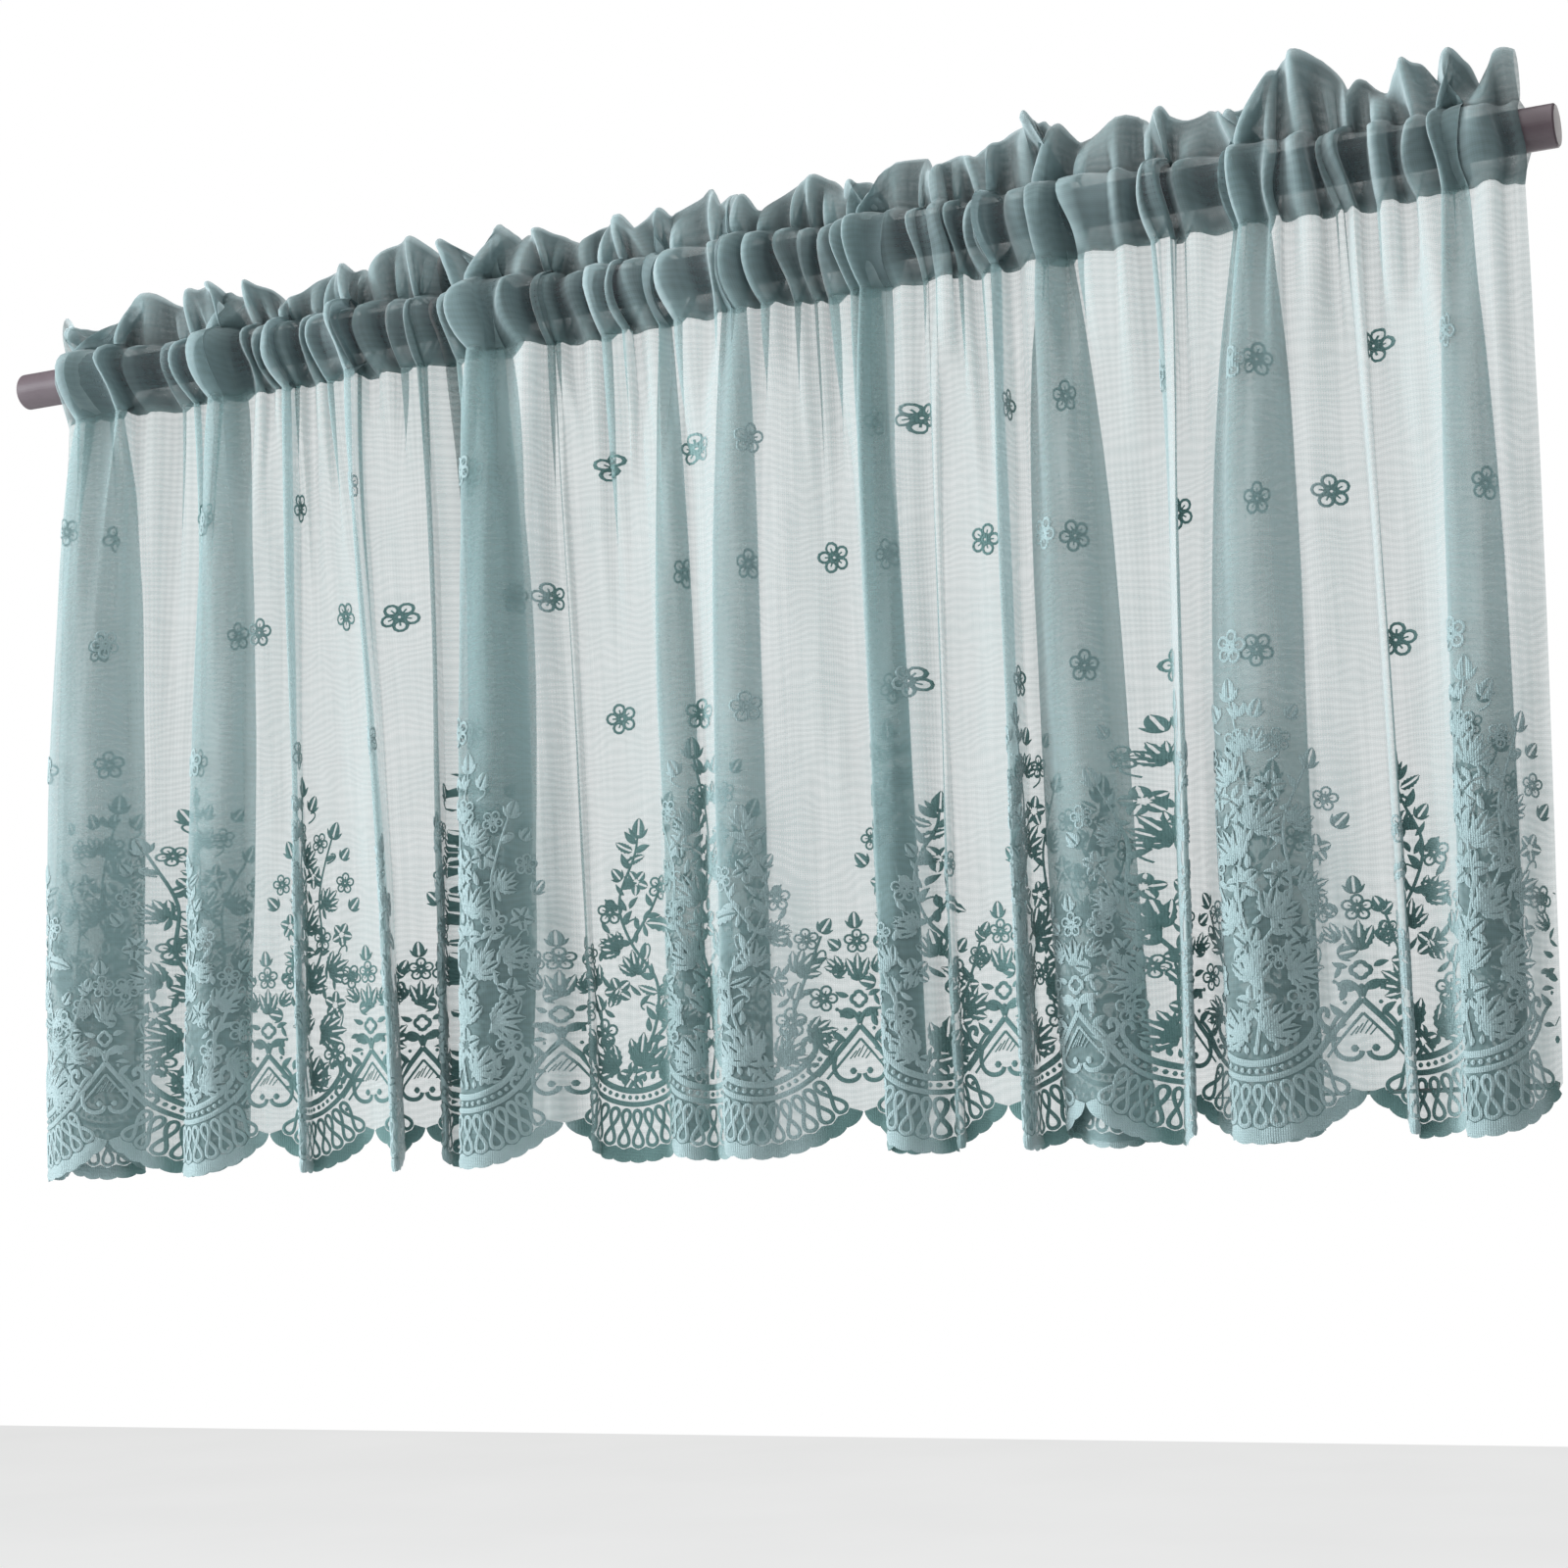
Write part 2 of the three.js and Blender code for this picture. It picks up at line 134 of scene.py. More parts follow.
ROD_GAP = 0.9  # from the rod to the pocket
HEADER_SEAM = 17.0  # height of the upper stitch line
STITCH_SWAY = 1.9  # how far the stitch lines sway up and down
SWAY_FADE = 60.0  # distance below the lower one over which that dies out
LOWER_STITCHES, UPPER_STITCHES = 40, 44  # seeds
WRINKLE = 1.8  # depth of the slanting wrinkles in the pocket and header
OVER_ROD_SHARE = 0.2  # share of the broader bulges in the middle of the pocket
SLANT = 7.0  # how far the pocket's gathers wind to the left and right

PUFF_BALLOON = 6.0  # half distance between the header's two plies,
PUFF_FULLNESS = (0.75, 1.35)  # with factors on it at the upper stitch line and the crest
PUFF_LEAN = 3.5  # how far the puffs lean to the left or right at their tops
PUFF_SPREAD, PUFF_FLOP = 1.08, 2.2  # factors on the width and flop of the solids' puffs
PUFF_RISE = 5.0  # how far they stand above the solids' puffs
PUFF_SOFTNESS = 11.0  # flat cloth over which the crest's height evens out
CREST_SHARES = (0.25, 0.5)  # the crest's waves beside full ones: along the rod, to the front
CREST_SWAY = 1.4  # how far chance moves the crest up and down
FLANK_DROP = 4.0  # how far the crest droops on the steepest flanks of its waves

POCKET_LENGTH = 52.0  # flat cloth between the two stitch lines
HEADER_HEIGHT = 30.0  # flat cloth from the upper one to the crest
SCALLOP_DEPTH = 24.0
EDGE_COVER = 4.0  # how far the edge band covers the lower edge of the ground
DROP_ROWS, POCKET_ROWS = 40, 12
HEADER_SHARES = 0.5 - 0.5 * np.cos(np.linspace(0, math.pi, 10))
PLAIN_STEP, FOLD_STEP, PLEAT_STEP = 2.2, 2.1, 1.5  # widths of the ground's faces

# What the ground's material reads on its points.
SEAM_COVER, POCKET_COVER, HEADER_COVER = 3.0, 1.9, 2.2  # thickness of threads, in layers
SEAM_COVER_REACH = (0.05, 0.35)  # shares of the pocket over which the first gives way
SLOPE_COVER = 0.8  # how much thicker threads look where the cloth runs front to back
FRONT_COVER = 0.6  # how much thicker they look on the fronts of folds near the hem
LACE_ZONE = (110.0, 290.0)  # heights over which that dies out
RECESS = (-15.0, -3.0)  # from the fold fronts, which are lit, back to cloth in the shade
GROOVE = 5.0  # depth behind its surroundings at which the cloth is in full shade
GROOVE_REACH = 13  # columns to each side that are a point's surroundings
RIGHT_SHADE = 0.7  # shade on flanks that face away from the light
DROP_RIM, CREST_RIM = 0.6, 0.55  # light on left flanks and the crest, beside 1 in the pocket


# --- small helpers

def mix(a, b, t):
    return a + (b - a) * t


def sums(values):
    """Running sums of the values, from 0."""
    return np.concatenate([[0], np.cumsum(values)])


def smooth_step(low, high, value):
    t = np.clip((value - low) / (high - low), 0, 1)
    return t * t * (3 - 2 * t)


def along_drop(fold, what, v):
    """A fold's place or width at share v of the drop: the parabola through its three values."""
    seam, middle, hem = (fold[f"{level}_{what}"] for level in ("seam", "middle", "hem"))
    return (seam * (v - FOLD_MIDDLE) * (v - 1) / FOLD_MIDDLE
            + middle * v * (v - 1) / (FOLD_MIDDLE * (FOLD_MIDDLE - 1))
            + hem * v * (v - FOLD_MIDDLE) / (1 - FOLD_MIDDLE))


def wander(values, length, seed):
    """A smooth random curve from -1 to 1 that changes over about the given length."""
    phases = np.random.default_rng(seed).uniform(0, 2 * math.pi, 4)
    waves = [np.sin(2 * math.pi * values / (length * stretch) + phase)
             for stretch, phase in zip((1.0, 1.37, 0.73, 2.3), phases)]
    return sum(waves) / len(waves)


# --- the folds seen from above

def fold_runs(fold, width):
    """A fold's straight runs: lengths and headings, 0 to the right and above 0 to the front."""
    flat = fold["take"] + fold["hem_w"]
    if fold["turns"] == 0:
        foot = width / 3
        leg = flat / 2 - foot
        return [foot, leg, leg, foot], [0, math.pi / 2, -math.pi / 2, 0]
    backward = (flat - width) / fold["turns"]
    forward = (flat + width) / (fold["turns"] + 2)
    lengths, headings = [forward], [0]
    for turn in range(0, fold["turns"], 2):
        lengths += [backward, forward]
        headings += [math.pi - FOLD_FAN, 0 if turn + 2 == fold["turns"] else FOLD_FAN]
    return lengths, headings


def fold_section(fold, width, s):
    """Points of a fold's section at flat positions s from its left end."""
    flat = fold["take"] + fold["hem_w"]
    lengths, headings = fold_runs(fold, width)
    ends = sums(lengths)
    at = (np.arange(SECTION_STEPS) + 0.5) / SECTION_STEPS * flat
    across = np.interp(at, ends, sums(
        [length * math.cos(heading) for length, heading in zip(lengths, headings)]))
    heading = np.zeros(SECTION_STEPS)
    if fold["turns"]:
        heading += BELLY * np.cos(math.pi * np.clip(across / width, 0, 1))
    for i, end in enumerate(ends[1:-1]):
        by = headings[i + 1] - headings[i]
        most = TIGHTEST_TURN * min(lengths[i], lengths[i + 1])
        half = min(fold["radius"] * abs(by) / 2, most)
        heading += by * smooth_step(end - half, end + half, at)
    edges = np.linspace(0, flat, SECTION_STEPS + 1)
    x = sums(np.cos(heading)) * flat / SECTION_STEPS
    y = -sums(np.sin(heading)) * flat / SECTION_STEPS
    x += (width - x[-1]) * edges / flat - fold["lean"] * y
    y -= y[-1] * edges / flat
    return np.interp(s, edges, x), np.interp(s, edges, y)


def lay_stretches():
    """Plain stretches and folds by turns: each one's fold or None, and its ends on flat cloth."""
    stretches, flat, edge = [], 0.0, -CLOTH_WIDTH / 2
    for fold in FOLDS:
        left = fold["hem_x"] - fold["hem_w"] / 2
        start = flat + left - edge
        end = start + fold["take"] + fold["hem_w"]
        stretches += [(None, flat, start), (fold, start, end)]
        flat, edge = end, left + fold["hem_w"]
    return [*stretches, (None, flat, flat + CLOTH_WIDTH / 2 - edge)]


STRETCHES = lay_stretches()
FLAT_WIDTH = STRETCHES[-1][2]
PITCH = FLAT_WIDTH / SCALLOPS


def stretch_ends(v):
    """Where each stretch starts and ends along X at share v of the drop."""
    side = CLOTH_WIDTH / 2 - SIDE_DRIFT * v ** 1.5
    edges = [-side]
    for fold in FOLDS:
        middle, width = along_drop(fold, "x", v), along_drop(fold, "w", v)
        edges += [middle - width / 2, middle + width / 2]
    edges.append(side)
    return edges


def fold_depth(fold, width):
    """How far a fold's right end lies behind its left end: less than 0 where it lies in front."""
    lengths, headings = fold_runs(fold, width)
    return -sum(length * math.sin(heading) for length, heading in zip(lengths, headings))


def folded_at(v, u):
    """Plan points of the fully folded cloth at share v of the drop, without the small gathers."""
    edges = stretch_ends(v)
    widths = np.diff(edges)
    depths = [fold_depth(fold, width) if fold else 0
              for (fold, _, _), width in zip(STRETCHES, widths)]
    x, y = np.zeros(len(u)), np.zeros(len(u))
    for i, (fold, start, end) in enumerate(STRETCHES):
        inside = (u >= start) & (u <= end)
        t = (u[inside] - start) / (end - start)
        if fold:
            fold_x, fold_y = fold_section(fold, widths[i], t * (end - start))
            x[inside] = edges[i] + fold_x
            y[inside] = fold_y + depths[i] * t - depths[i] / 2 - fold["forward"]
            continue
        first, last = 0, 0
        if i > 0:
            first = depths[i - 1] / 2 - STRETCHES[i - 1][0]["forward"]
        if i < len(STRETCHES) - 1:
            last = -depths[i + 1] / 2 - STRETCHES[i + 1][0]["forward"]
        x[inside] = mix(edges[i], edges[i + 1], t)
        y[inside] = mix(first, last, smooth_step(0, 1, t))
    return x, y


# --- the small gathers

def smoothed(values, reach):
    """A row of values, one for each millimetre of flat cloth, averaged over about the reach."""
    window = np.hanning(2 * round(reach) + 1)
    padded = np.pad(values, round(reach), mode="reflect", reflect_type="odd")
    return np.convolve(padded, window / window.sum(), mode="valid")


def gathers(wanted, shortest, longest, seed):
    """Waves that take up the cloth that does not fit along X.

    wanted gives the even place along X for each millimetre of flat cloth. Returns how far each
    millimetre lies beside that place, and how far it stands forward.
    """
    chance = np.random.default_rng(seed)
    ends = sums(chance.uniform(shortest, longest, WAVE_COUNT))
    uneven = chance.uniform(*CRIMP_SIZES, WAVE_COUNT)
    angles = np.linspace(0, STEEPEST, 60)
    turn = np.linspace(0, 2 * math.pi, 181)[:-1]
    shares = np.cos(angles[:, None] * np.sin(turn)).mean(axis=1)
    slope = np.gradient(wanted)
    share = np.clip(slope, shares[-1], 1 - LEAST_GATHER)
    wave = np.interp(wanted + CLOTH_WIDTH / 2 + WAVE_MARGIN, ends, np.arange(len(ends)))
    swing = np.interp(-share, -shares, angles) * uneven[wave.astype(int)]
    heading = np.minimum(swing, STEEPEST) * np.sin(math.pi * wave)
    step = np.maximum(slope / share, 1)
    x, ahead = np.cumsum(step * np.cos(heading)), np.cumsum(step * np.sin(heading))
    return x - smoothed(x, 5 * longest), ahead - smoothed(ahead, 5 * longest)


SEAM_CUTS = [start for _, start, _ in STRETCHES] + [FLAT_WIDTH]
# Rows with one value for each millimetre of flat cloth. The last three are places along the rod.
FLAT = np.arange(math.ceil(FLAT_WIDTH) + 1)
ENDS = smooth_step(0, END_CALM, np.minimum(FLAT, FLAT[-1] - FLAT))  # 0 at the side edges, else 1
PLACED = np.interp(FLAT, SEAM_CUTS, stretch_ends(0.0))
BUNCHED = smoothed(PLACED, SEAM_EVENNESS)
BUNCHED += BUNCHING * wander(BUNCHED, 95.0, seed=3) * np.sin(math.pi * FLAT / FLAT[-1]) ** 0.3
EVEN = mix(BUNCHED, PLACED, FIRST_OVERLAP)


def plan_at(v, u):
    """Plan points at share v of the drop: the folds as they grow out of the even stitch line."""
    overlapped = mix(FIRST_OVERLAP, 1, 1 - (1 - v) ** OPENING_POWER)
    deep = mix(FIRST_DEPTH, 1, 1 - (1 - v) ** DEEPENING_POWER)
    x, y = folded_at(v, u)
    even = mix(np.interp(u, FLAT, BUNCHED), np.interp(u, SEAM_CUTS, stretch_ends(v)),
               smooth_step(0, SEAM_FADE / DROP, v))
    return mix(even, x, overlapped), deep * y


def calmness():
    """How much of the small gathers is left for each millimetre: least in the middle of folds."""
    folded = np.zeros(len(FLAT))
    for fold, start, end in STRETCHES:
        if fold:
            folded[(FLAT > start) & (FLAT < end)] = 1
    return ENDS * (1 - FOLD_CALM * smoothed(folded, FOLD_BLUR))


def gathered_line(beside, forward):
    """A stitch line: its place along X, how far forward it is, and the size of its gathers."""
    x, y = plan_at(0.0, FLAT)
    ahead = CALM * forward - y
    swings = (ahead - smoothed(ahead, SWING_REACH)) ** 2
    size = np.sqrt(np.maximum(smoothed(swings, SIZE_REACH), 0))
    return np.array([x + CALM * beside, ahead, SIZE_SCALE * size])


def crest_line(beside, forward):
    """The header's crest, which has long waves only: its place along X and how far forward."""
    return np.array([EVEN + CREST_SHARES[0] * ENDS * beside, CREST_SHARES[1] * ENDS * forward])


def steepness(crest):
    """From 0 where the crest runs along the rod to 1 where it runs straight to front or back."""
    x, forward = np.gradient(crest, axis=1)
    return np.abs(forward) / np.hypot(x, forward)


def puff_shape(x):
    """Height and forward flop of the header's top at places along X, from the table of puffs."""
    top = np.full_like(x, HEADER_BASE)
    flop = np.zeros_like(x)
    for middle, half, height, forward in PUFFS:
        off = np.abs(x - middle) / (PUFF_SPREAD * half)
        dome = mix(HEADER_BASE, height + PUFF_RISE, np.sqrt(np.clip(1 - off ** 2, 0, None)))
        flop = np.where(dome > top, forward * (1 - off), flop)
        top = np.maximum(top, dome)
    return top, flop


CALM = calmness()
SEAM_GATHERS = gathers(EVEN, *CRIMP, seed=5)
SEAM = gathered_line(*SEAM_GATHERS)
OVER_ROD = gathered_line(*gathers(EVEN, *BULGE, seed=31))
CREST = crest_line(*gathers(EVEN, *PUFF_WAVE, seed=90))
CREST_SHAPE = [smoothed(values, PUFF_SOFTNESS) for values in puff_shape(CREST[0])]
CREST_SHAPE[0] -= FLANK_DROP * smoothed(steepness(CREST) ** 2, PUFF_SOFTNESS)


def at_places(lines, u):
    """The values of rows like those above at places on the flat cloth."""
    return np.array([np.interp(u, FLAT, values) for values in lines])


# --- rows of the cloth

def wrinkles(u, height, side):
    """Slanting wrinkles of the pocket and header, at a height above the lower stitch line."""
    rising = wander(u + 0.9 * height, 31.0, seed=60 + side)
    return WRINKLE * rising * wander(height - 0.5 * u, 27.0, seed=70 + side)


def stitch_sway(u, seed):
    """How far a stitch line runs above or below its even course."""
    return STITCH_SWAY * (wander(u, 46.0, seed) + 0.6 * wander(u, 21.0, seed + 1))


def drop_row(u, below):
    """Points of the cloth at a distance below the lower stitch line, which may vary along u."""
    beside, forward, calm = at_places([*SEAM_GATHERS, CALM], u)
    x, y = plan_at(float(np.mean(below)) / DROP, u)
    fade = mix(*CRIMP_FADE, (0.5 + 0.5 * wander(u, 55.0, seed=11)) ** 2)
    left = 1 - smooth_step(0.0, 1.0, np.mean(below) / fade)
    x = x + left * calm * beside
    y = y - left * calm * forward
    for i, (length, height, size) in enumerate(RIPPLES):
        shift = RIPPLE_SHIFT * wander(below, height, seed=30 + i)
        y = y + (1 - left) * size * wander(u + shift, length, seed=20 + i)
    sway = stitch_sway(u, LOWER_STITCHES) * (1 - smooth_step(0.0, SWAY_FADE, np.mean(below)))
    return np.stack([x, y, sway - POCKET_DEPTH - below], axis=-1)


def pocket_row(u, side, share):
    """One ply of the rod pocket, from the lower stitch line (0) to the upper one (1).

    Side is -1 for the front ply and 1 for the back one.
    """
    radius = ROD_RADIUS + ROD_GAP
    low, high = -math.asin(radius / POCKET_DEPTH), math.asin(radius / HEADER_SEAM)
    profile = [(0, -POCKET_DEPTH)]
    profile += [(radius * math.cos(a), radius * math.sin(a)) for a in np.linspace(low, high, 9)]
    profile = np.array(profile + [(0, HEADER_SEAM)])
    lengths = sums(np.hypot(*np.diff(profile, axis=0).T))
    at = share * lengths[-1]
    out, height = (np.interp(at, lengths, profile[:, i]) for i in (0, 1))
    off_rod = max(1 - at / lengths[1], 1 - (lengths[-1] - at) / (lengths[-1] - lengths[-2]), 0)
    swell = 1 - off_rod ** 2
    x, ahead, size = mix(at_places(SEAM, u), at_places(OVER_ROD, u), OVER_ROD_SHARE * swell)
    x = x + SLANT * math.sin(math.pi * share) * wander(x, 53.0, seed=80 + side)
    x = x + SLANT / 2 * math.sin(2 * math.pi * share) * wander(x, 37.0, seed=84 + side)
    y = side * (out + swell * np.maximum(size, side * ahead)) - ahead
    y = y + side * swell * (WRINKLE + wrinkles(u, POCKET_LENGTH * share, side))
    sway = mix(stitch_sway(u, LOWER_STITCHES) * (1 - share) ** 3,
               stitch_sway(u, UPPER_STITCHES), share ** 3)
    return np.stack([x, y, height + sway], axis=-1)


def header_row(u, side, share):
    """One ply of the header, from the upper stitch line (0) to the crest (1)."""
    x, ahead = mix(at_places(SEAM[:2], u), at_places(CREST, u), share ** 1.3)
    top, flop = at_places(CREST_SHAPE, u)
    top = top + CREST_SWAY * wander(u, 34.0, seed=50)
    x = x + PUFF_LEAN * share ** 1.5 * wander(x, 52.0, seed=51)
    y = -ahead - PUFF_FLOP * flop * share ** 2
    puffed = math.sqrt(max(0.0, 4 * share * (1 - share))) * mix(*PUFF_FULLNESS, share)
    slants = wrinkles(u, POCKET_LENGTH + HEADER_HEIGHT * share, side)
    y = y + side * puffed * (PUFF_BALLOON + slants)
    low = HEADER_SEAM + stitch_sway(u, UPPER_STITCHES)
    return np.stack([x, y, mix(low, top, share)], axis=-1)


HEM_RADIUS = (PITCH ** 2 / 4 + SCALLOP_DEPTH ** 2) / (2 * SCALLOP_DEPTH)


def hem_edge(u):
    """Height of the scalloped lower edge above its lowest points."""
    off = (u / PITCH % 1.0 - 0.5) * PITCH
    return HEM_RADIUS - np.sqrt(HEM_RADIUS ** 2 - off ** 2)


# --- meshes

def add_object(name, data):
    item = bpy.data.objects.new(name, data)
    bpy.context.scene.collection.objects.link(item)
    return item


def mesh_object(name, points, faces, material):
    """A smooth mesh object from points in metres in the frame."""
    mesh = bpy.data.meshes.new(name)
    mesh.from_pydata(points.tolist(), [], faces.tolist())
    mesh.polygons.foreach_set("use_smooth", np.ones(len(mesh.polygons), bool))
    mesh.materials.append(material)
    mesh.update()
    return add_object(name, mesh)


def in_frame(points):
    """Metres in the frame from millimetres that start from the rod's middle."""
    return (points + (ROD_LENGTH / 2, 0, 0)) * MM


def set_flat_places(item, places):
    """Writes each vertex's place on the flat cloth, in metres, as the UV map."""
    loops = np.zeros(len(item.data.loops), np.int64)
    item.data.loops.foreach_get("vertex_index", loops)
    layer = item.data.uv_layers.new(name="flat_cloth")
    layer.data.foreach_set("uv", (places[loops] * MM).ravel())


def set_number(item, name, values):
    attribute = item.data.attributes.new(name, "FLOAT", "POINT")
    attribute.data.foreach_set("value", values.ravel().astype(np.float32))


def ground_columns():
    """Places across the flat cloth, closest together in the standing pleats."""
    columns = [np.zeros(1)]
    for fold, start, end in STRETCHES:
        step = PLAIN_STEP if fold is None else FOLD_STEP if fold["turns"] else PLEAT_STEP
        count = max(2, math.ceil((end - start) / step))
        columns.append(np.linspace(start, end, count + 1)[1:])
    return np.concatenate(columns)


def ground_rows(u):
    """Every row of the panel, from the hem up the front and over the header down the back.

    Returns the rows' points, their heights on the flat cloth and how thick their threads look.
    """
    bottom = DROP - hem_edge(u) - EDGE_COVER
    rows = [(drop_row(u, bottom * share), DROP - bottom * share, 1.0)
            for share in np.linspace(1, 0, DROP_ROWS) ** 1.5]
    crest = DROP + POCKET_LENGTH + HEADER_HEIGHT
    pocket = (pocket_row, DROP, POCKET_LENGTH)
    header = (header_row, DROP + POCKET_LENGTH, HEADER_HEIGHT)
    for (ply, foot, length), side, shares in (
            (pocket, -1, np.linspace(0, 1, POCKET_ROWS)[1:-1]),
            (header, -1, HEADER_SHARES),
            (header, 1, HEADER_SHARES[-2::-1]),
            (pocket, 1, np.linspace(1, 0, POCKET_ROWS)[1:])):
        for share in shares:
            height = foot + length * share
            cover = HEADER_COVER
            if ply is pocket_row:
                cover = mix(SEAM_COVER, POCKET_COVER, smooth_step(*SEAM_COVER_REACH, share))
            rows.append((ply(u, side, share), height if side < 0 else 2 * crest - height, cover))
    points, heights, covers = zip(*rows)
    return np.array(points), np.array([height + 0 * u for height in heights]), np.array(covers)


def grid_faces(rows, columns):
    index = np.arange(rows * columns).reshape(rows, columns)
    corners = (index[:-1, :-1], index[:-1, 1:], index[1:, 1:], index[1:, :-1])
    return np.stack([corner.ravel() for corner in corners], axis=-1)


def grooves(y):
    """From 0 on the fronts of the gathers and folds to 1 in the grooves between them, where the
    material paints shade.
    """
    window = np.hanning(2 * GROOVE_REACH + 1)
    window /= window.sum()
    depths = np.array([row - np.convolve(np.pad(row, GROOVE_REACH, mode="edge"), window, "valid")
                       for row in y])
    backs = np.arange(len(y)) > len(y) - len(HEADER_SHARES) - POCKET_ROWS
    return smooth_step(-GROOVE, GROOVE, np.where(backs[:, None], -depths, depths))


def build_ground(material):
    """The one open sheet of cloth, with the numbers on its points that its material reads."""
    u = ground_columns()
    points, heights, covers = ground_rows(u)
    count = len(points)
    item = mesh_object("lace_curtain_cloth", in_frame(points.reshape(-1, 3)),
                       grid_faces(count, len(u)), material)
    places = np.stack([np.broadcast_to(u, heights.shape), heights], axis=-1).reshape(-1, 2)
    set_flat_places(item, places)
    x, y, z = np.moveaxis(points, -1, 0)
    across_x, across_y = np.gradient(x, axis=1), np.gradient(y, axis=1)
    turned = across_y / np.maximum(np.hypot(across_x, across_y), 1e-9)
    in_pocket = smooth_step(1.0, 1.5, covers)[:, None]
    # recess runs from the fold fronts (0), which the materials paint lit, to the cloth behind them
    # (1), whose lace they paint in shade.
    recess = smooth_step(*RECESS, y)
    closer = 1 + FRONT_COVER * (1 - recess) * (1 - smooth_step(*LACE_ZONE, heights))
    # Painted highlight on the left flanks, which face the key light, and along the header's crest.
    rim_highlight = np.maximum(-turned, 0) ** 3 * mix(DROP_RIM, 1.0, in_pocket)
    crest = np.abs(np.arange(count) - np.argmax(z.mean(axis=1))) < 2
    # Painted shade on the flanks that face away from the key light, joined below with the painted
    # shade in the grooves.
    right = RIGHT_SHADE * np.maximum(turned, 0) ** 2
    set_number(item, "thread_cover", covers[:, None] * closer * (1 + SLOPE_COVER * turned ** 2))
    set_number(item, "rim_highlight", np.maximum(rim_highlight, CREST_RIM * crest[:, None]))
    # pocket: 1 in the pocket and header, which the material paints in shade, with deeper painted
    # shade in their grooves.
    set_number(item, "pocket", np.broadcast_to(in_pocket, turned.shape))
    set_number(item, "groove_shade", np.maximum(grooves(y), right))
    set_number(item, "recess", recess)
    return item


# --- drawing on the flat cloth. A stroke is (points, half widths, closed): a line drawn on it.

LEAF_SLIT = 0.65  # half width of the slit along a cut leaf
SPRAY_SPREAD = 25.0  # degrees between the leaves of a spray


def pointing(angle):
    """The unit vector at an angle in degrees."""
    a = math.radians(angle)
    return np.array([math.cos(a), math.sin(a)])


def left_of(directions):
    return np.stack([-directions[..., 1], directions[..., 0]], axis=-1)


def bezier(points, count):
    """A smooth line through the first and last point, drawn towards those between."""
    points = np.asarray(points, float)
    t = np.linspace(0, 1, count)[:, None]
    degree = len(points) - 1
    return sum(math.comb(degree, i) * t ** i * (1 - t) ** (degree - i) * point
               for i, point in enumerate(points))


def line(points, half, count):
    return bezier(points, count), np.full(count, half), False


def stem(points, half):
    """A smooth line through every point, thinner at its far end."""
    points = np.asarray(points, float)
    count = 7 * (len(points) - 1) + 1
    at, fine = np.arange(len(points)), np.linspace(0, len(points) - 1, count)
    slopes = np.gradient(points, axis=0)
    i = np.clip(fine.astype(int), 0, len(points) - 2)
    t = (fine - at[i])[:, None]
    line_points = ((2 * t ** 3 - 3 * t ** 2 + 1) * points[i] + (t ** 3 - 2 * t ** 2 + t) * slopes[i]
                   + (3 * t ** 2 - 2 * t ** 3) * points[i + 1] + (t ** 3 - t ** 2) * slopes[i + 1])
    return line_points, half * np.linspace(1, 0.6, count), False


def leaf(u, h, angle, length, width, bow=0.15, teeth=0):
    """A pointed leaf from its foot at (u, h), with a saw edge where teeth are given."""
    count = 2 * teeth + 5 if teeth else 8
    direction = pointing(angle)
    foot = np.array([u, h], float)
    spine = bezier([foot, foot + length * (0.5 * direction + bow * left_of(direction)),
                    foot + length * direction], count)
    half = width / 2 * np.sin(math.pi * np.linspace(0, 1, count) ** 0.8) ** 0.8
    if teeth:
        half[1::2] *= 0.72
    return spine, np.maximum(half, 0.25), False


def cut_leaf(u, h, angle, length, width, bow=0.1, teeth=4):
    """A toothed leaf in two blades, with a slit where its midrib would be."""
    spine, half, _ = leaf(u, h, angle, length, width, bow, teeth)
    along = np.gradient(spine, axis=0)
    side = left_of(along / np.linalg.norm(along, axis=1, keepdims=True))
    blades = []
    for sign in (-1, 1):
        middle = spine + sign * side * (half / 2 + LEAF_SLIT * np.minimum(1, half))[:, None]
        blades.append((middle, np.maximum(half / 2, 0.2), False))
    return blades


def ring(u, h, radius, half, count, lobes=0, depth=0.0):
    """A closed outline, round or with the given number of lobes."""
    angle = np.linspace(0, 2 * math.pi, count, endpoint=False)
    reach = radius * np.ones(count)
    if lobes:
        reach *= 1 - depth + depth * np.abs(np.cos(lobes * angle / 2)) ** 0.7
    points = np.stack([u + reach * np.cos(angle), h + reach * np.sin(angle)], axis=-1)
    return points, np.full(count, half), True


def dot(u, h, radius):
    t = np.linspace(-1, 1, 5)
    points = np.stack([u + radius * t, h + 0 * t], axis=-1)
    return points, np.maximum(radius * np.sqrt(1 - t ** 2), 0.1), False


def outlined_flower(u, h, radius, turn):
    """Five outlined round petals, each with a short vein, around a small eye."""
    strokes = [ring(u, h, radius * 0.19, radius * 0.11, count=8)]
    for i in range(5):
        out = pointing(turn + 72 * i)
        middle = (u, h) + 0.62 * radius * out
        strokes.append(ring(*middle, radius * 0.34, radius * 0.09, count=10))
        strokes.append(line([(u, h) + 0.3 * radius * out, middle], radius * 0.05, 3))
    return strokes


def filled_flower(u, h, radius, turn):
    """Five filled petals, each slit along its middle, around an open eye."""
    petals = []
    for i in range(5):
        angle = turn + 72 * i
        foot = (u, h) + 0.22 * radius * pointing(angle)
        petals += cut_leaf(*foot, angle, 0.8 * radius, 0.62 * radius, bow=0.0, teeth=0)
    return petals


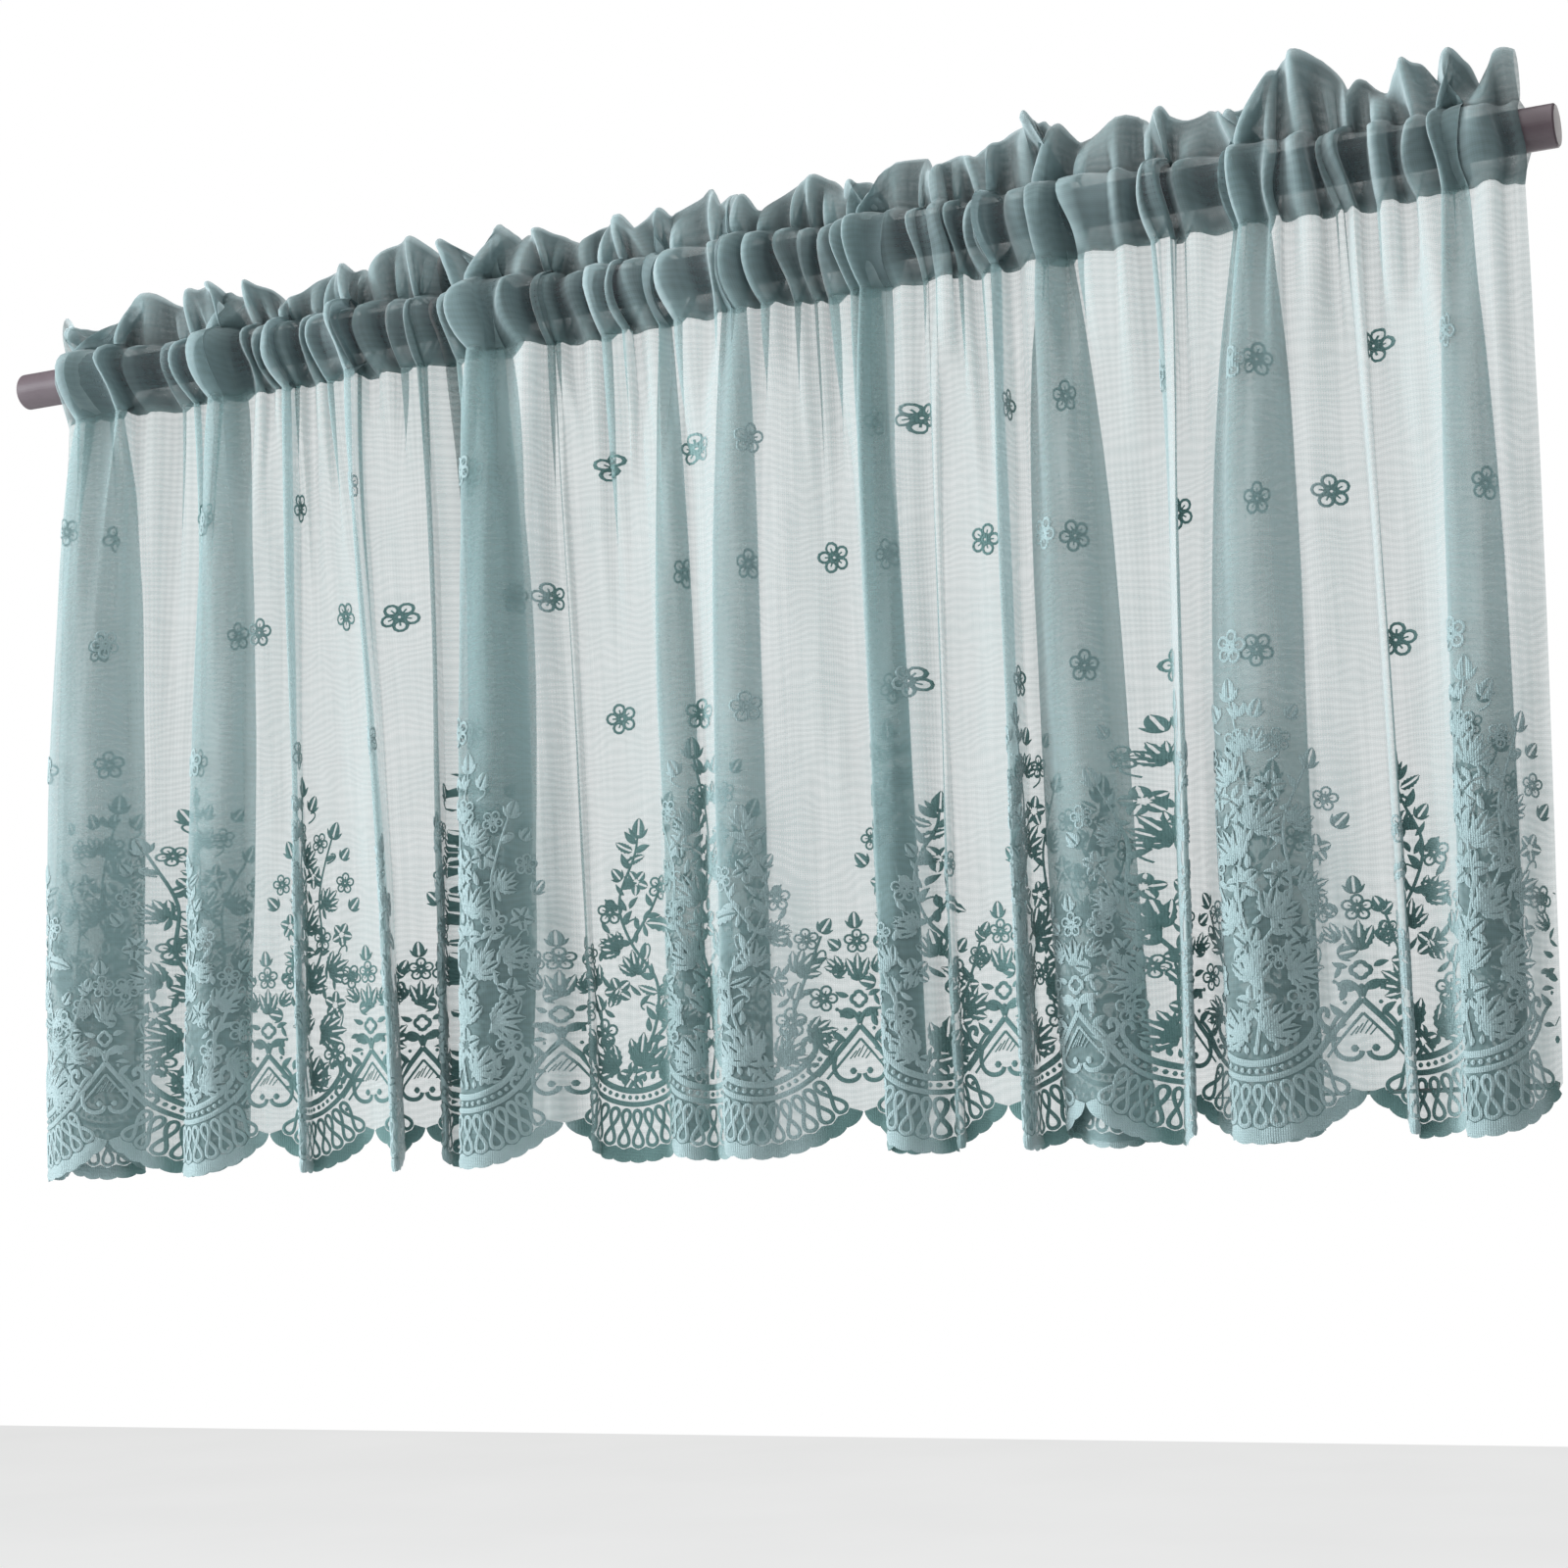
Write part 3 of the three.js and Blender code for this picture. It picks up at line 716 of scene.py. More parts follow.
def spray(u, h, angle, size, fingers=5):
    """Cut leaves that fan out from one foot, the middle one longest."""
    leaves = []
    for i in range(fingers):
        off = i - (fingers - 1) / 2
        length = size * (1 - 0.1 * abs(off))
        leaves += cut_leaf(u, h, angle + SPRAY_SPREAD * off, length, size * 0.34,
                           bow=0.05 * off, teeth=3)
    return leaves


def curl(u, h, angle, size, bend):
    """A thin tendril that ends in a small hook, to its left (1) or right (-1)."""
    along = pointing(angle)
    side = bend * left_of(along)
    foot = np.array([u, h], float)
    return line([foot, foot + size * along, foot + size * (1.1 * along + 0.6 * side),
                 foot + size * (0.5 * along + 0.6 * side)], 0.6, 9)


def bud(u, h, angle, size):
    """A round bud between two small sepals."""
    return [*cut_leaf(u, h, angle, size * 0.85, size * 0.5, bow=0.0, teeth=0),
            leaf(u, h, angle + 46, size * 0.6, size * 0.2),
            leaf(u, h, angle - 46, size * 0.6, size * 0.2, bow=-0.15)]


def moved(strokes, u, mirrored=False):
    """The strokes shifted along the cloth, and mirrored left to right first where asked."""
    sign = -1 if mirrored else 1
    return [(points * (sign, 1) + (u, 0), half, closed) for points, half, closed in strokes]


# --- the lace border

HALF_ARC = math.asin(PITCH / 2 / HEM_RADIUS)
LOOPS = 11  # figures of eight in a scallop
LOOP_POINTS = 28
LOOP_REACH, LOOP_WIDTH = 11.4, 3.05  # half height and half width of one
BAND = 10.0  # width of the solid edge
OUTER_SWAG, INNER_SWAG = 36.5, 45.0  # distances of the swag's two lines from the hem's edge

# The right half of the ornament above a cusp. Lines have points, half width and count of points;
# leaves have u, h, slant from upright, length and width; dots have u, h and radius.
CUSP_LINES = (
    (((25, 49), (0, 79)), 1.6, 4),
    (((15, 60), (20, 44), (2, 42), (1.5, 50)), 1.4, 14),
    (((19, 63), (27, 68), (24, 78), (15, 75), (19, 69)), 1.6, 12),
    (((0, 80), (2, 90), (11, 91), (10, 84)), 1.5, 10),
    (((20, 47), (0, 71)), 0.8, 4),
    (((24, 56), (31, 58), (31, 50), (26, 50)), 1.1, 8),
)
CUSP_LEAVES = ((9, 70, 48, 10, 4.2), (16, 62, 60, 9, 4), (3, 84, 62, 11, 4.4),
               (6, 97, 70, 8, 3.6))
CUSP_DOTS = ((5, 51.5, 2.1), (13, 89, 1.2), (8.5, 77, 1.2), (22, 41, 1.4))


def polar(angle, inward):
    """Places at an angle from a scallop's middle and a distance in from its edge."""
    reach = HEM_RADIUS - np.asarray(inward, float)
    return np.stack([reach * np.sin(angle), HEM_RADIUS - reach * np.cos(angle)], axis=-1)


def scallop_border():
    """The edge band, loops and swag of one scallop whose middle is at u = 0."""
    angle = np.linspace(-HALF_ARC, HALF_ARC, 6 * LOOPS + 1)
    bumps = np.abs(np.sin(LOOPS * math.pi * (angle + HALF_ARC) / (2 * HALF_ARC)))
    outer, inner = 1.8 * (1 - bumps ** 0.8), BAND - 1.8 * bumps
    strokes = [(polar(angle, (outer + inner) / 2), (inner - outer) / 2, False)]
    turn = np.linspace(0, 2 * math.pi, LOOP_POINTS, endpoint=False)
    inward = BAND + LOOP_REACH * (1 - np.cos(turn))
    across = (LOOP_WIDTH + 0.6 * np.cos(turn)) * np.sin(2 * turn)
    for i in range(LOOPS):
        middle = -HALF_ARC + (i + 0.5) * 2 * HALF_ARC / LOOPS
        loop = polar(middle + across / (HEM_RADIUS - inward), inward)
        strokes.append((loop, np.full(LOOP_POINTS, 1.2), True))
    for inward, end, half in ((OUTER_SWAG, 60, 1.6), (INNER_SWAG, 58, 1.9)):
        sweep = np.radians(np.linspace(-end, end, 25))
        strokes.append((polar(sweep, np.full(25, inward)), np.full(25, half), False))
    for at in np.radians(np.linspace(-56, 56, 19)):
        strokes.append(dot(*polar(at, (OUTER_SWAG + INNER_SWAG) / 2), 1.5))
    for side in (-1, 1):
        u, h = polar(side * math.radians(58), INNER_SWAG)
        hook = [(u, h), (u + side * 4, h + 9), (u - side * 5, h + 13), (u - side * 6, h + 5)]
        strokes.append(line(hook, 1.6, 12))
        u, h = polar(side * math.radians(60), OUTER_SWAG)
        strokes.append(line([(u, h), (u + side * 3, h + 8), (u + side * 9, h + 12)], 1.2, 8))
    for at in np.radians(np.linspace(-38, 38, 9)):
        foot = polar(at, INNER_SWAG + 5)
        strokes.append(leaf(*foot, 90 - math.degrees(at) * 0.8, 5.5, 3.2, bow=0.0))
    return strokes


def cusp_ornament():
    """The heart, scrolls and lozenge above the cusp between two scallops, at u = 0."""
    strokes = [ring(0, 95, 4.6, 1.2, lobes=4, depth=0.22, count=16), dot(0, 86, 1.5)]
    for side in (-1, 1):
        for points, half, count in CUSP_LINES:
            strokes.append(line(np.array(points) * (side, 1), half, count))
        for u, h, slant, length, width in CUSP_LEAVES:
            strokes.append(leaf(side * u, h, 90 - side * slant, length, width))
        for u, h, radius in CUSP_DOTS:
            strokes.append(dot(side * u, h, radius))
    for i in range(-2, 3):
        ends = [(2.3 * i - 2, 60 - 0.6 * abs(i)), (2.3 * i + 2, 67 - 1.6 * abs(i))]
        strokes.append(line(ends, 0.4, 3))
    return strokes


# --- the plants above the border

# Charted on the flat cloth, from a scallop's middle: points along stems; u, h, angle and
# size of leaf sprays, buds and tendrils, which also have the side of their hook; u, h and radius
# of filled and outlined flowers; u, h, angle, length and width of leaves. Foliage has a number of
# small leaves, their seed, half width and top.
BOUQUET = {
    "stems": [[(0, 50), (-6, 92), (5, 140), (-4, 196), (5, 252)], [(3, 118), (20, 148), (20, 184),
        (33, 222)], [(-2, 104), (-23, 138), (-22, 178), (-37, 212)]],
    "sprays": [(6, 60, 34, 22), (-6, 62, 146, 21), (0, 92, 88, 20), (18, 92, 4, 21),
        (-20, 96, 176, 20), (8, 122, 50, 20), (-12, 126, 128, 21), (26, 132, 22, 18),
        (-30, 140, 158, 17), (4, 160, 60, 20), (-6, 176, 128, 20), (24, 176, 40, 15),
        (-27, 178, 138, 15), (6, 204, 66, 17), (-8, 222, 118, 14)],
    "filled": [(0, 78, 11), (-29, 113, 9), (30, 110, 9), (0, 110, 12), (2, 146, 11), (-16, 200, 9),
        (38, 156, 8), (-40, 164, 8), (15, 196, 8), (-18, 150, 8), (0, 188, 9)],
    "outlined": [(-27, 80, 9), (29, 78, 9), (-16, 104, 7), (21, 154, 8), (-40, 130, 8),
        (22, 218, 7), (-22, 226, 7), (2, 226, 8), (44, 128, 8), (42, 190, 7), (-46, 192, 7)],
    "buds": [(5, 250, 88, 16), (33, 220, 70, 14), (-37, 210, 112, 14), (-9, 240, 112, 13),
        (14, 240, 62, 13), (46, 172, 50, 12), (-50, 176, 132, 12), (50, 106, 14, 12),
        (-48, 104, 166, 12), (40, 206, 52, 11), (-28, 238, 124, 11)],
    "curls": [(34, 96, 60, 11, 1), (-36, 98, 120, 11, -1), (34, 142, 70, 10, -1),
        (-34, 152, 110, 10, 1), (14, 172, 30, 9, 1), (-14, 164, 150, 9, -1), (12, 232, 20, 9, 1),
        (-16, 214, 160, 9, -1), (28, 204, 10, 9, 1)],
    "leaves": [],
    "foliage": (60, 12, 50.0, 242.0),
}
SPRIG = {
    "stems": [[(-8, 50), (12, 80), (16, 112), (-1, 138), (-8, 164), (3, 192), (6, 206)],
        [(-1, 138), (12, 156), (19, 170)], [(-8, 50), (-20, 74), (-22, 96)], [(-22, 90),
        (-30, 112), (-38, 134)], [(16, 80), (34, 96), (45, 126)]],
    "sprays": [(4, 60, 60, 24), (16, 58, 8, 23), (-12, 60, 150, 19), (-8, 134, 150, 15),
        (16, 92, 20, 15), (-30, 74, 168, 16), (34, 84, 34, 18), (-24, 112, 132, 17),
        (2, 118, 100, 16)],
    "filled": [(-2, 54, 9), (4, 176, 8), (30, 78, 8), (-10, 108, 9), (36, 100, 7)],
    "outlined": [(-20, 82, 9), (26, 108, 9), (20, 172, 8), (-14, 158, 8), (-38, 96, 8),
        (44, 116, 7), (-30, 132, 7)],
    "buds": [(6, 204, 84, 15), (-22, 96, 108, 13), (-6, 178, 128, 11), (30, 120, 52, 11),
        (-38, 136, 124, 12), (46, 128, 62, 11), (-44, 110, 150, 11)],
    "curls": [(14, 98, 150, 10, 1), (-4, 150, 40, 9, -1), (-14, 70, 100, 9, 1),
        (-34, 118, 100, 9, 1), (38, 104, 80, 9, -1), (10, 128, 60, 9, 1)],
    "leaves": [(10, 150, -14, 27, 9), (16, 106, 160, 14, 5), (-2, 188, 20, 13, 5),
        (2, 196, 150, 12, 5), (-16, 98, 60, 14, 5), (-6, 142, 196, 17, 6)],
    "foliage": (30, 14, 36.0, 186.0),
}
CUSP_SPRAYS = [(0, 106, 90, 17), (-9, 112, 138, 12), (9, 112, 42, 12)]
CUSP_FLOWER = (0, 130, 7.5)
CUSP_BUDS = [(-1, 138, 92, 12), (-10, 126, 140, 10), (11, 127, 38, 10)]
FOLIAGE_FOOT = 57.0  # height of the lowest small leaves
SCATTER_ROWS = ((280, 0.5), (365, 0.0), (448, 0.5))  # height, share of a pitch
SCATTER_RADIUS = 9.8


def side_leaves(stem_points, size):
    """Small leaves left and right by turns along a stem."""
    points, _, _ = stem(stem_points, 1)
    leaves = []
    for i in range(3, len(points) - 3, 3):
        along = points[i + 1] - points[i - 1]
        angle = math.degrees(math.atan2(along[1], along[0])) + (52 if i % 2 else -52)
        leaves.append(leaf(*points[i], angle, size, size * 0.42))
    return leaves


def small_leaves(count, seed, spread, top):
    """Leaves scattered around a plant's stems, fewer and closer to them towards its top."""
    chance = np.random.default_rng(seed)
    leaves = []
    for _ in range(count):
        share = chance.uniform(0, 1) ** 1.3
        reach = spread * (1 - share ** 1.6)
        u, h = chance.uniform(-reach, reach), mix(FOLIAGE_FOOT, top, share)
        angle = 90 - 1.2 * u + chance.uniform(-50, 50)
        leaves.append(leaf(u, h, angle, chance.uniform(7, 10), chance.uniform(2.8, 4.2)))
    return leaves


def plant(stems, sprays, filled, outlined, buds, curls, leaves, foliage):
    strokes = []
    for i, points in enumerate(stems):
        strokes.append(stem(points, 1.2))
        strokes += side_leaves(points, 11 if i == 0 else 9)
    for row in sprays:
        strokes += spray(*row)
    for i, row in enumerate(filled):
        strokes += filled_flower(*row, turn=18 + 31 * i)
    for i, row in enumerate(outlined):
        strokes += outlined_flower(*row, turn=90 + 23 * i)
    for row in buds:
        strokes += bud(*row)
    strokes += [curl(*row) for row in curls]
    for row in leaves:
        strokes += cut_leaf(*row)
    return strokes + small_leaves(*foliage)


def border_strokes():
    strokes = []
    scallop, cusp = scallop_border(), cusp_ornament()
    for i in range(SCALLOPS):
        strokes += moved(scallop, (i + 0.5) * PITCH)
        strokes += moved(cusp, (i + 1) * PITCH)
    return strokes


def plant_strokes():
    """The bouquets, and the sprigs with the small plants above the cusps."""
    bouquet, sprig = plant(**BOUQUET), plant(**SPRIG)
    between = outlined_flower(*CUSP_FLOWER, turn=90)
    for row in CUSP_SPRAYS:
        between += spray(*row, fingers=3)
    for row in CUSP_BUDS:
        between += bud(*row)
    bouquets, sprigs = [], []
    for i in range(SCALLOPS):
        home, drawing = (sprigs, sprig) if i % 2 else (bouquets, bouquet)
        home += moved(drawing, (i + 0.5) * PITCH, mirrored=i % 4 > 1)
        sprigs += moved(between, (i + 1) * PITCH)
    return bouquets, sprigs


def scattered_flowers():
    strokes = []
    chance = np.random.default_rng(8)
    for height, offset in SCATTER_ROWS:
        for i in range(SCALLOPS):
            u, h = (i + offset) * PITCH + chance.uniform(-5, 5), height + chance.uniform(-4, 4)
            strokes += outlined_flower(u, h, SCATTER_RADIUS, turn=chance.uniform(0, 72))
    return strokes


# --- from the flat cloth to its folds

TABLE_STEP, TABLE_DROP_STEP = 1.5, 5.0  # across and down the flat cloth
LACE_RELIEF = 0.7  # how far the middle of a wide stroke stands above its edges
LACE_CLEARANCE = 0.4  # from the ground to a stroke's edges
SIDE_MARGIN = 2.0  # no stroke comes closer to a side edge


def shape_table():
    """The front of the hung cloth: points, normals, and the height of each row when flat."""
    u = np.arange(0, FLAT_WIDTH + TABLE_STEP, TABLE_STEP)
    below = np.arange(DROP, -1, -TABLE_DROP_STEP)
    shares = np.linspace(0, 1, POCKET_ROWS)[1:]
    rows = [drop_row(u, level) for level in below]
    rows += [pocket_row(u, -1, share) for share in shares]
    points = np.array(rows)
    heights = np.concatenate([DROP - below, DROP + POCKET_LENGTH * shares])
    normals = np.cross(np.gradient(points, axis=1), np.gradient(points, heights, axis=0))
    normals /= np.linalg.norm(normals, axis=-1, keepdims=True)
    return points, normals, heights


def on_cloth(table, places, lifts):
    """Points in space for places on the flat cloth, lifted off its front."""
    points, normals, heights = table
    row = np.clip(np.searchsorted(heights, places[:, 1]) - 1, 0, len(heights) - 2)
    column = np.clip((places[:, 0] / TABLE_STEP).astype(int), 0, points.shape[1] - 2)
    down = ((places[:, 1] - heights[row]) / (heights[row + 1] - heights[row]))[:, None]
    across = (places[:, 0] / TABLE_STEP - column)[:, None]

    def between(grid):
        low = mix(grid[row, column], grid[row, column + 1], across)
        high = mix(grid[row + 1, column], grid[row + 1, column + 1], across)
        return mix(low, high, down)

    return between(points) + between(normals) * lifts[:, None]


def ribbon(points, half, closed):
    """A ribbon raised along its middle, along a stroke: three vertices for each point."""
    if closed:
        along = np.roll(points, -1, axis=0) - np.roll(points, 1, axis=0)
    else:
        along = np.gradient(points, axis=0)
    along = along / np.maximum(np.linalg.norm(along, axis=1, keepdims=True), 1e-9)
    side = left_of(along) * half[:, None]
    places = np.stack([points + side, points, points - side], axis=1).reshape(-1, 2)
    relief = LACE_RELIEF * np.minimum(1, 0.5 + half / 3)
    lifts = np.stack([0 * half, relief, 0 * half], axis=1).ravel() + LACE_CLEARANCE
    count = len(points)
    here = np.arange(count if closed else count - 1)
    there = (here + 1) % count
    faces = [np.stack([3 * here + k, 3 * here + k + 1, 3 * there + k + 1, 3 * there + k], axis=-1)
             for k in (0, 1)]
    return places, lifts, np.concatenate(faces)


def build_lace(name, strokes, table, material):
    """One piece of raised yarn on the front of the cloth."""
    places, lifts, faces, start = [], [], [], 0
    for points, half, closed in strokes:
        across = points[:, 0]
        if across.min() < SIDE_MARGIN or across.max() > FLAT_WIDTH - SIDE_MARGIN:
            continue
        made = ribbon(points, half, closed)
        places.append(made[0])
        lifts.append(made[1])
        faces.append(made[2] + start)
        start += len(made[0])
    places = np.clip(np.concatenate(places), 0, (FLAT_WIDTH, np.inf))
    points = on_cloth(table, places, np.concatenate(lifts))
    item = mesh_object(name, in_frame(points), np.concatenate(faces), material)
    set_flat_places(item, places)
    # The recess number tells the lace material where to paint shade.
    set_number(item, "recess", smooth_step(*RECESS, points[:, 1]))
    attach(item, "root")
    return item


# --- materials. Colours are linear red, green and blue.

GROUND_COLORS = (0.205, 0.345, 0.345), (0.255, 0.40, 0.40)
# Painted light: the lighter colour of the fold fronts, which stand forward.
PAINTED_LIT_FOLD_FRONT_COLOR = (0.275, 0.405, 0.41, 1)
# Painted shade: the pocket and header are darker than the lit fold fronts.
POCKET_PAINTED_SHADE_COLOR = (0.245, 0.35, 0.36, 1)
# Painted highlight on the left flanks and the header's crest.
RIM_PAINTED_HIGHLIGHT_COLOR = (0.60, 0.72, 0.74, 1)
SHADE_COLOR = (0.16, 0.19, 0.20, 1)  # what full shade multiplies a colour by
LACE_COLORS = (0.295, 0.41, 0.42), (0.355, 0.475, 0.49)
# Painted shade on the lace behind the fold fronts.
LACE_PAINTED_SHADE_COLOR = (0.12, 0.235, 0.23, 1)
ROD_COLORS = (0.075, 0.052, 0.062), (0.10, 0.072, 0.084)
FLOOR_COLORS = (0.93, 0.93, 0.925), (0.96, 0.96, 0.955)
OPEN_SHARE = 0.58  # light that one layer of the ground lets through, and how that varies:
RIBS, BARS, SLUBS, STREAKS = 0.02, 0.035, 0.12, 0.16


def add_node(tree, kind, settings=None, **sockets):
    """Adds a node. Keywords are input names with _ for a space, or i and an index."""
    node = tree.nodes.new("ShaderNode" + kind)
    for name, value in (settings or {}).items():
        setattr(node, name, value)
    for name, value in sockets.items():
        index = int(name[1:]) if name[0] == "i" and name[1:].isdigit() else name.replace("_", " ")
        if isinstance(value, bpy.types.NodeSocket):
            tree.links.new(value, node.inputs[index])
        else:
            node.inputs[index].default_value = value
    return node


def calc(tree, operation, a, b=0.0, clamp=False):
    settings = {"operation": operation, "use_clamp": clamp}
    return add_node(tree, "Math", settings, i0=a, i1=b).outputs[0]


def plus(tree, a, b):
    return calc(tree, "ADD", a, b)


def times(tree, a, b):
    return calc(tree, "MULTIPLY", a, b)


def centred(tree, noise, size):
    """A noise from 0 to 1 made into one around 0, of the given size."""
    return times(tree, calc(tree, "SUBTRACT", noise, 0.5), size)


def threads(tree, coordinate, pitch):
    """A wave from -1 to 1 with one crest to each thread."""
    return calc(tree, "SINE", times(tree, coordinate, 2 * math.pi / (pitch * MM)))


def noise_at(tree, vector, scale, detail=2.0):
    return add_node(tree, "TexNoise", Vector=vector, Scale=scale, Detail=detail).outputs["Fac"]


def tint(tree, vector, scale, dark, light):
    """A colour that drifts between two, and the noise that it follows."""
    noise = noise_at(tree, vector, scale, 4.0)
    ramp = add_node(tree, "ValToRGB", Fac=noise)
    for element, place, color in zip(ramp.color_ramp.elements, (0.3, 0.7), (dark, light)):
        element.position = place
        element.color = (*color, 1)
    return ramp.outputs["Color"], noise


def blend(tree, share, first, second, kind="MIX"):
    """A colour between two, each a socket or four numbers."""
    settings = {"data_type": "RGBA", "blend_type": kind}
    return add_node(tree, "Mix", settings, i0=share, i6=first, i7=second).outputs[2]


def mix_shaders(tree, share, first, second):
    return add_node(tree, "MixShader", i0=share, i1=first, i2=second).outputs[0]


def number(tree, name):
    return add_node(tree, "Attribute", {"attribute_name": name}).outputs["Fac"]


def bumped(tree, height, strength, distance):
    bump = add_node(tree, "Bump", Height=height, Strength=strength, Distance=distance)
    return bump.outputs["Normal"]


def new_material(name):
    material = bpy.data.materials.new(name)
    material.use_nodes = True
    material.node_tree.nodes.clear()
    return material, material.node_tree


def yarn_material(name):
    """A new material with the coordinates of the flat cloth."""
    material, tree = new_material(name)
    uv = add_node(tree, "UVMap", {"uv_map": "flat_cloth"}).outputs["UV"]
    split = add_node(tree, "SeparateXYZ", Vector=uv)
    return material, tree, uv, split.outputs["X"], split.outputs["Y"]


def yarn_shader(tree, color, roughness, normal, through):
    """Yarn with a soft sheen that lets a share of the light through, scattered."""
    front = add_node(tree, "BsdfPrincipled", Base_Color=color, Roughness=roughness,
                     Sheen_Weight=0.5, Sheen_Roughness=0.35, Normal=normal).outputs[0]
    back = add_node(tree, "BsdfTranslucent", Color=color).outputs[0]
    return mix_shaders(tree, through, front, back)


def output(tree, shader):
    add_node(tree, "OutputMaterial", Surface=shader)


def sheer_material():
    material, tree, uv, u, h = yarn_material("sheer_ground")
    color, noise = tint(tree, uv, 30.0, *GROUND_COLORS)
    # Painted light: the fold fronts, which stand forward, take a lighter lit colour.
    color = blend(tree, number(tree, "recess"), PAINTED_LIT_FOLD_FRONT_COLOR, color)
    pocket = number(tree, "pocket")
    # Painted shade: the pocket and header take a darker colour than the lit fold fronts.
    color = blend(tree, pocket, color, POCKET_PAINTED_SHADE_COLOR)
    # Painted shade in the grooves and on flanks facing away from the light, deeper in the pocket
    # and header.
    depth = times(tree, number(tree, "groove_shade"), plus(tree, 0.35, times(tree, pocket, 0.5)))
    color = blend(tree, depth, color, blend(tree, 1.0, color, SHADE_COLOR, kind="MULTIPLY"))
    # Painted highlight on the left flanks and along the header's crest.
    color = blend(tree, number(tree, "rim_highlight"), color, RIM_PAINTED_HIGHLIGHT_COLOR)

    wavy = plus(tree, h, times(tree, noise_at(tree, uv, 22.0), 0.03))
    stretched = add_node(tree, "Mapping", Vector=uv, Scale=(330.0, 9.0, 1.0)).outputs[0]
    ribs_and_courses = plus(tree, times(tree, threads(tree, u, 1.3), RIBS),
                            times(tree, threads(tree, h, 1.1), RIBS))
    bars = times(tree, threads(tree, wavy, 4.7), BARS)
    slubs = plus(tree, centred(tree, noise, SLUBS),
                 centred(tree, noise_at(tree, stretched, 1.0), STREAKS))
    woven = plus(tree, ribs_and_courses, plus(tree, bars, slubs))
    gaps = calc(tree, "POWER", calc(tree, "SUBTRACT", OPEN_SHARE, woven, clamp=True),
                number(tree, "thread_cover"))
    cloth = yarn_shader(tree, color, 0.75, bumped(tree, woven, 0.4, 0.0004), through=0.4)
    clear = add_node(tree, "BsdfTransparent").outputs[0]
    output(tree, mix_shaders(tree, gaps, cloth, clear))
    return material


def lace_material():
    material, tree, uv, u, h = yarn_material("lace_yarn")
    color, _ = tint(tree, uv, 60.0, *LACE_COLORS)
    # Painted shade: lace on the cloth behind the fold fronts takes a darker colour.
    color = blend(tree, number(tree, "recess"), color, LACE_PAINTED_SHADE_COLOR)
    woven = plus(tree, threads(tree, u, 1.3), threads(tree, h, 0.9))
    output(tree, yarn_shader(tree, color, 0.7, bumped(tree, woven, 0.5, 0.0003), through=0.1))
    return material


def rod_material():
    material, tree = new_material("rod_paint")
    where = add_node(tree, "TexCoord").outputs["Object"]
    color, noise = tint(tree, where, 40.0, *ROD_COLORS)
    rough = plus(tree, times(tree, noise, 0.2), 0.3)
    normal = bumped(tree, noise_at(tree, where, 900.0), 0.15, 0.0003)
    paint = add_node(tree, "BsdfPrincipled", Base_Color=color, Roughness=rough, Normal=normal)
    output(tree, paint.outputs[0])
    return material


def floor_material():
    """A pale floor that shows lighter to the camera than it lights the cloth."""
    material, tree = new_material("studio_floor")
    where = add_node(tree, "TexCoord").outputs["Object"]
    color, _ = tint(tree, where, 1.5, *FLOOR_COLORS)
    paint = add_node(tree, "BsdfPrincipled", Base_Color=color, Roughness=0.8).outputs[0]
    pale = add_node(tree, "Emission", Color=color, Strength=1.0).outputs[0]
    seen = add_node(tree, "LightPath").outputs["Is Camera Ray"]
    output(tree, mix_shaders(tree, times(tree, seen, 0.75), paint, pale))
    return material


# --- camera, light and floor, in metres in the frame

CAMERA_PLACE = (1.355, -1.631, -0.530)
CAMERA_YAW, CAMERA_PITCH, CAMERA_ROLL = 25.24, 6.32, -2.22  # degrees, the yaw from +Y to the left
CAMERA_LENS, SENSOR = 67.37, 36.0  # in millimetres
FLOOR_HEIGHT = -1.45
FLOOR_SIZE = 6.0  # half its side
CURTAIN_MIDDLE = (0.54, 0.0, -0.25)


def place_camera():
    data = bpy.data.cameras.new("camera")
    data.lens = CAMERA_LENS
    data.sensor_width = SENSOR
    camera = add_object("camera", data)
    pose = Matrix.Translation(CAMERA_PLACE)
    for angle, axis in ((CAMERA_YAW, "Z"), (90 + CAMERA_PITCH, "X"), (CAMERA_ROLL, "Z")):
        pose = pose @ Matrix.Rotation(math.radians(angle), 4, axis)
    camera.matrix_world = pose
    bpy.context.scene.camera = camera


